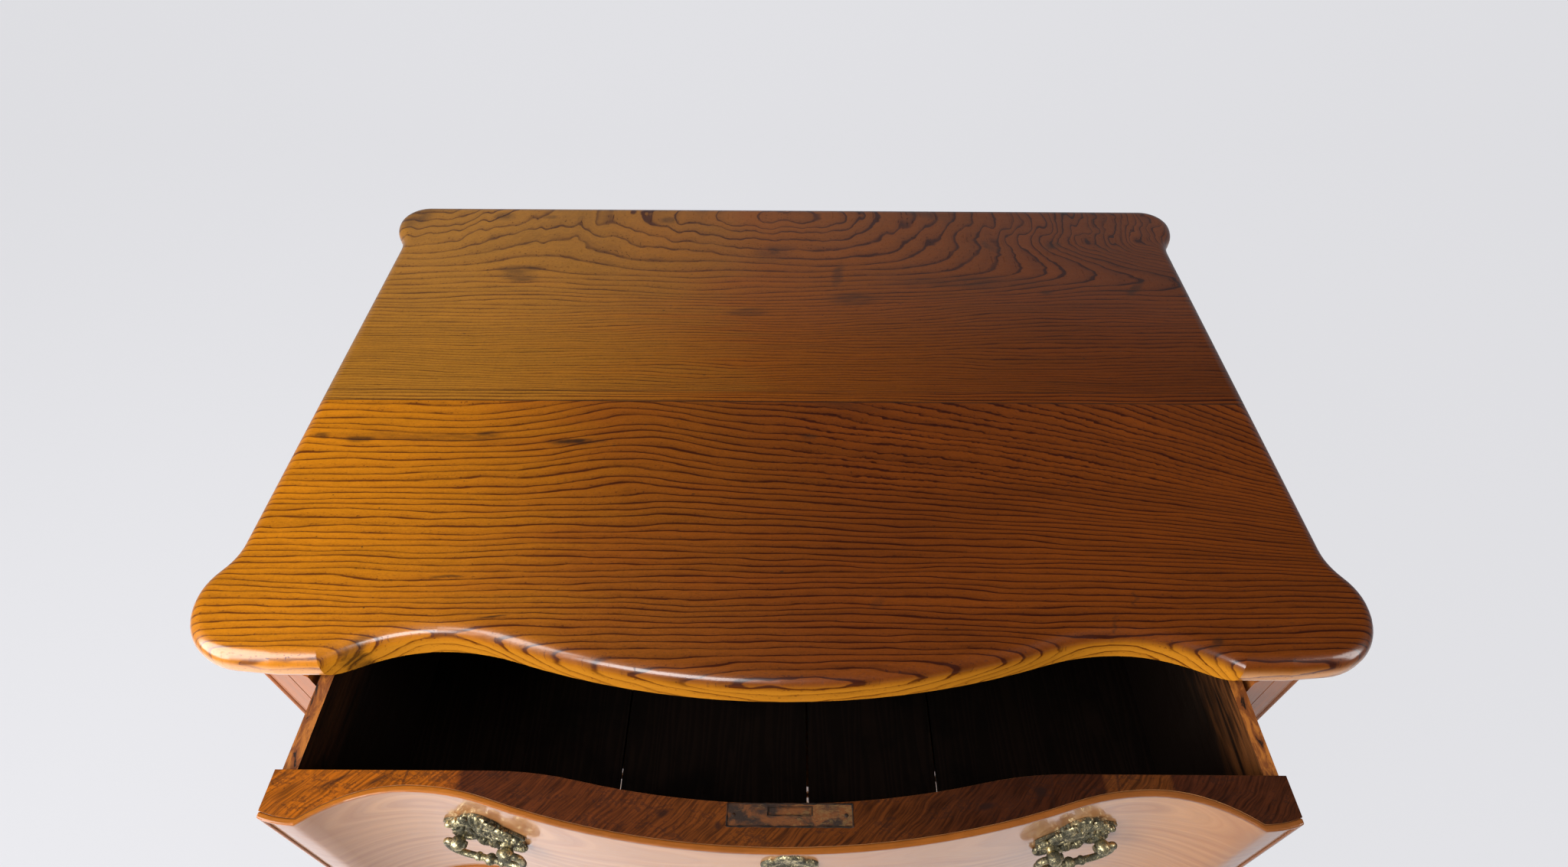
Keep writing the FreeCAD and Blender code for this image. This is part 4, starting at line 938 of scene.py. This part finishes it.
def makeLockTrim(level):
    trim = lockTrim
    low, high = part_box(level + "_drawer_lock")
    boltLow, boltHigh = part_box(level + "_lock_bolt")

    def place(u, v, w):
        return Vector((u / 1000, v / 1000, high.z + w / 1000))

    dirt = Ornament(level + "_lock_dirt", place)
    # Dark strokes of painted shadow in the gaps round the plate and round the bolt slot.
    edges = ((low, high, 0, trim["dirt"]), (boltLow, boltHigh, trim["slotGap"], trim["slotShadow"]))
    for first, last, grow, size in edges:
        left, right = first.x * 1000 - grow, last.x * 1000 + grow
        fore, rear = first.y * 1000 - grow, last.y * 1000 + grow
        corners = ((left, fore), (right, fore), (right, rear), (left, rear), (left, fore))
        for (fromX, fromY), (toX, toY) in zip(corners, corners[1:]):
            count = max(int(math.hypot(toX - fromX, toY - fromY) / trim["step"]), 2)
            route = []
            for number in range(count + 1):
                share = number / count
                swell = size * (1 + 0.5 * math.sin(number * 2.4 + fromX) * math.cos(number * 1.1 + toY))
                route.append((fromX + (toX - fromX) * share, fromY + (toY - fromY) * share,
                              -trim["sink"], swell))
            dirt.scroll(route, 2, 6)
    nail = (trim["nailRadius"], trim["nailRadius"], trim["nailRise"])
    for across in (low.x * 1000 + trim["nailInset"], high.x * 1000 - trim["nailInset"]):
        dirt.ball((across, (low.y + high.y) * 500, -trim["nailSink"]), nail, 0, 14)
    dirt.build(level + "_drawer", "dirt")


for level in levels:
    makeLockTrim(level)
print("lock plates trimmed")


# Studio: one pale sheet as floor and wall, in metres, and the colours that the camera and polish see
studio = {"floorReach": 9.0, "halfWide": 26.0, "wallAt": 3.2, "curve": 1.2, "wallTop": 3.4, "steps": 24,
          "colour": (0.60, 0.60, 0.63), "seen": (0.80, 0.80, 0.83), "seenShare": 0.88,
          "mirrored": (0.16, 0.16, 0.17), "mirroredShare": 0.62, "mirroredFrom": (250, 1300),
          "sky": (0.80, 0.82, 0.88), "skyLight": 0.22, "skyMirrored": 0.03, "lampsAim": (0, 0, 0.7)}


def makeBackdrop():
    wall, curve, steps = (studio[key] for key in ("wallAt", "curve", "steps"))
    line = [(-studio["floorReach"], 0.0)]
    for step in range(steps + 1):
        turn = math.pi / 2 * step / steps
        line.append((wall - curve + curve * math.sin(turn), curve * (1 - math.cos(turn))))
    line.append((wall, studio["wallTop"]))
    points = [(side * studio["halfWide"], y, z) for y, z in line for side in (-1, 1)]
    faces = [(2 * i, 2 * i + 1, 2 * i + 3, 2 * i + 2) for i in range(len(line) - 1)]
    mesh = bpy.data.meshes.new("backdrop")
    mesh.from_pydata(points, [], faces)
    mesh.shade_smooth()
    backdrop = addObject("backdrop", mesh)
    paint = Paint("pale_paper")
    grain = paint.noise((420, 420, 420), 4, 0.6, 3)
    sheet = paint.shade(studio["colour"], 0.96 + grain * 0.08)
    plain = paint.node("ShaderNodeBsdfPrincipled", {},
                       {"Base Color": sheet, "Roughness": 0.75, "Normal": paint.bump(grain, 4)})
    glow = paint.node("ShaderNodeEmission", {}, {0: (*studio["seen"], 1)})
    dim = paint.node("ShaderNodeEmission", {}, {0: (*studio["mirrored"], 1)})
    ray = [paint.node("ShaderNodeLightPath", {}, {}, out) for out in ("Is Camera Ray", "Is Glossy Ray")]
    seen = paint.node("ShaderNodeMixShader", {}, {0: ray[0] * studio["seenShare"], 1: plain, 2: glow})
    raised = paint.soft(paint.z, *studio["mirroredFrom"]) * studio["mirroredShare"]
    both = paint.node("ShaderNodeMixShader", {}, {0: ray[1] * raised, 1: seen, 2: dim})
    paint.node("ShaderNodeOutputMaterial", {}, {"Surface": both})
    mesh.materials.append(paint.material)


# Place, size, power, and whether polished surfaces mirror it
lamps = {
    "windowLeft": ((-1.7, -0.95, 1.58), (1.3, 1.8), 62, True),
    "windowFront": ((-0.75, -2.1, 1.95), (1.0, 0.8), 32, True),
    "windowRight": ((1.9, -0.75, 1.6), (0.5, 1.3), 13, True),
    "above": ((-0.4, 0.0, 3.1), (2.4, 1.8), 20, False),
}


def makeLamps():
    target = Vector(studio["lampsAim"])
    for name, (place, size, power, mirrored) in lamps.items():
        data = bpy.data.lights.new(name, "AREA")
        data.shape = "RECTANGLE"
        data.size, data.size_y = size
        data.energy = power
        lamp = addObject(name, data)
        lamp.visible_glossy = mirrored
        lamp.location = place
        lamp.rotation_euler = (target - Vector(place)).to_track_quat("-Z", "Y").to_euler()


def makeWorld():
    world = bpy.data.worlds.new("studio")
    bpy.context.scene.world = world
    air = Tree(world)
    light = air.node("ShaderNodeBackground", {},
                     {"Color": (*studio["sky"], 1), "Strength": studio["skyLight"]})
    for kind, colour, strength in (("Is Glossy Ray", studio["sky"], studio["skyMirrored"]),
                                   ("Is Camera Ray", studio["seen"], 1)):
        ray = air.node("ShaderNodeLightPath", {}, {}, kind)
        other = air.node("ShaderNodeBackground", {}, {"Color": (*colour, 1), "Strength": strength})
        light = air.node("ShaderNodeMixShader", {}, {0: ray, 1: light, 2: other})
    air.node("ShaderNodeOutputWorld", {}, {"Surface": light})


# Camera, from the outline of the top in the photograph; lengths from the middle of the top's front edge
view = {"right": 0.0017, "before": 0.2784, "above": 0.5863, "down": 47.82, "turn": -0.07, "tilt": 0.29,
        "lens": 19.14}


def makeCamera():
    down, turn, tilt = (math.radians(view[key]) for key in ("down", "turn", "tilt"))
    forward = Vector((math.sin(turn) * math.cos(down), math.cos(turn) * math.cos(down), -math.sin(down)))
    level = Vector((math.cos(turn), -math.sin(turn), 0))
    upright = level.cross(forward)
    right = level * math.cos(tilt) + upright * math.sin(tilt)
    up = upright * math.cos(tilt) - level * math.sin(tilt)
    data = bpy.data.cameras.new("camera")
    data.sensor_width = 36
    data.lens = view["lens"]
    data.clip_start = 0.01
    camera = addObject("camera", data)
    place = Vector((view["right"], -topFront / 1000 - view["before"], topSurface / 1000 + view["above"]))
    camera.matrix_world = Matrix.Translation(place) @ Matrix((right, up, -forward)).transposed().to_4x4()
    bpy.context.scene.camera = camera


makeBackdrop()
makeLamps()
makeWorld()
makeCamera()
bpy.context.scene.view_settings.view_transform = "Standard"
print("studio set")
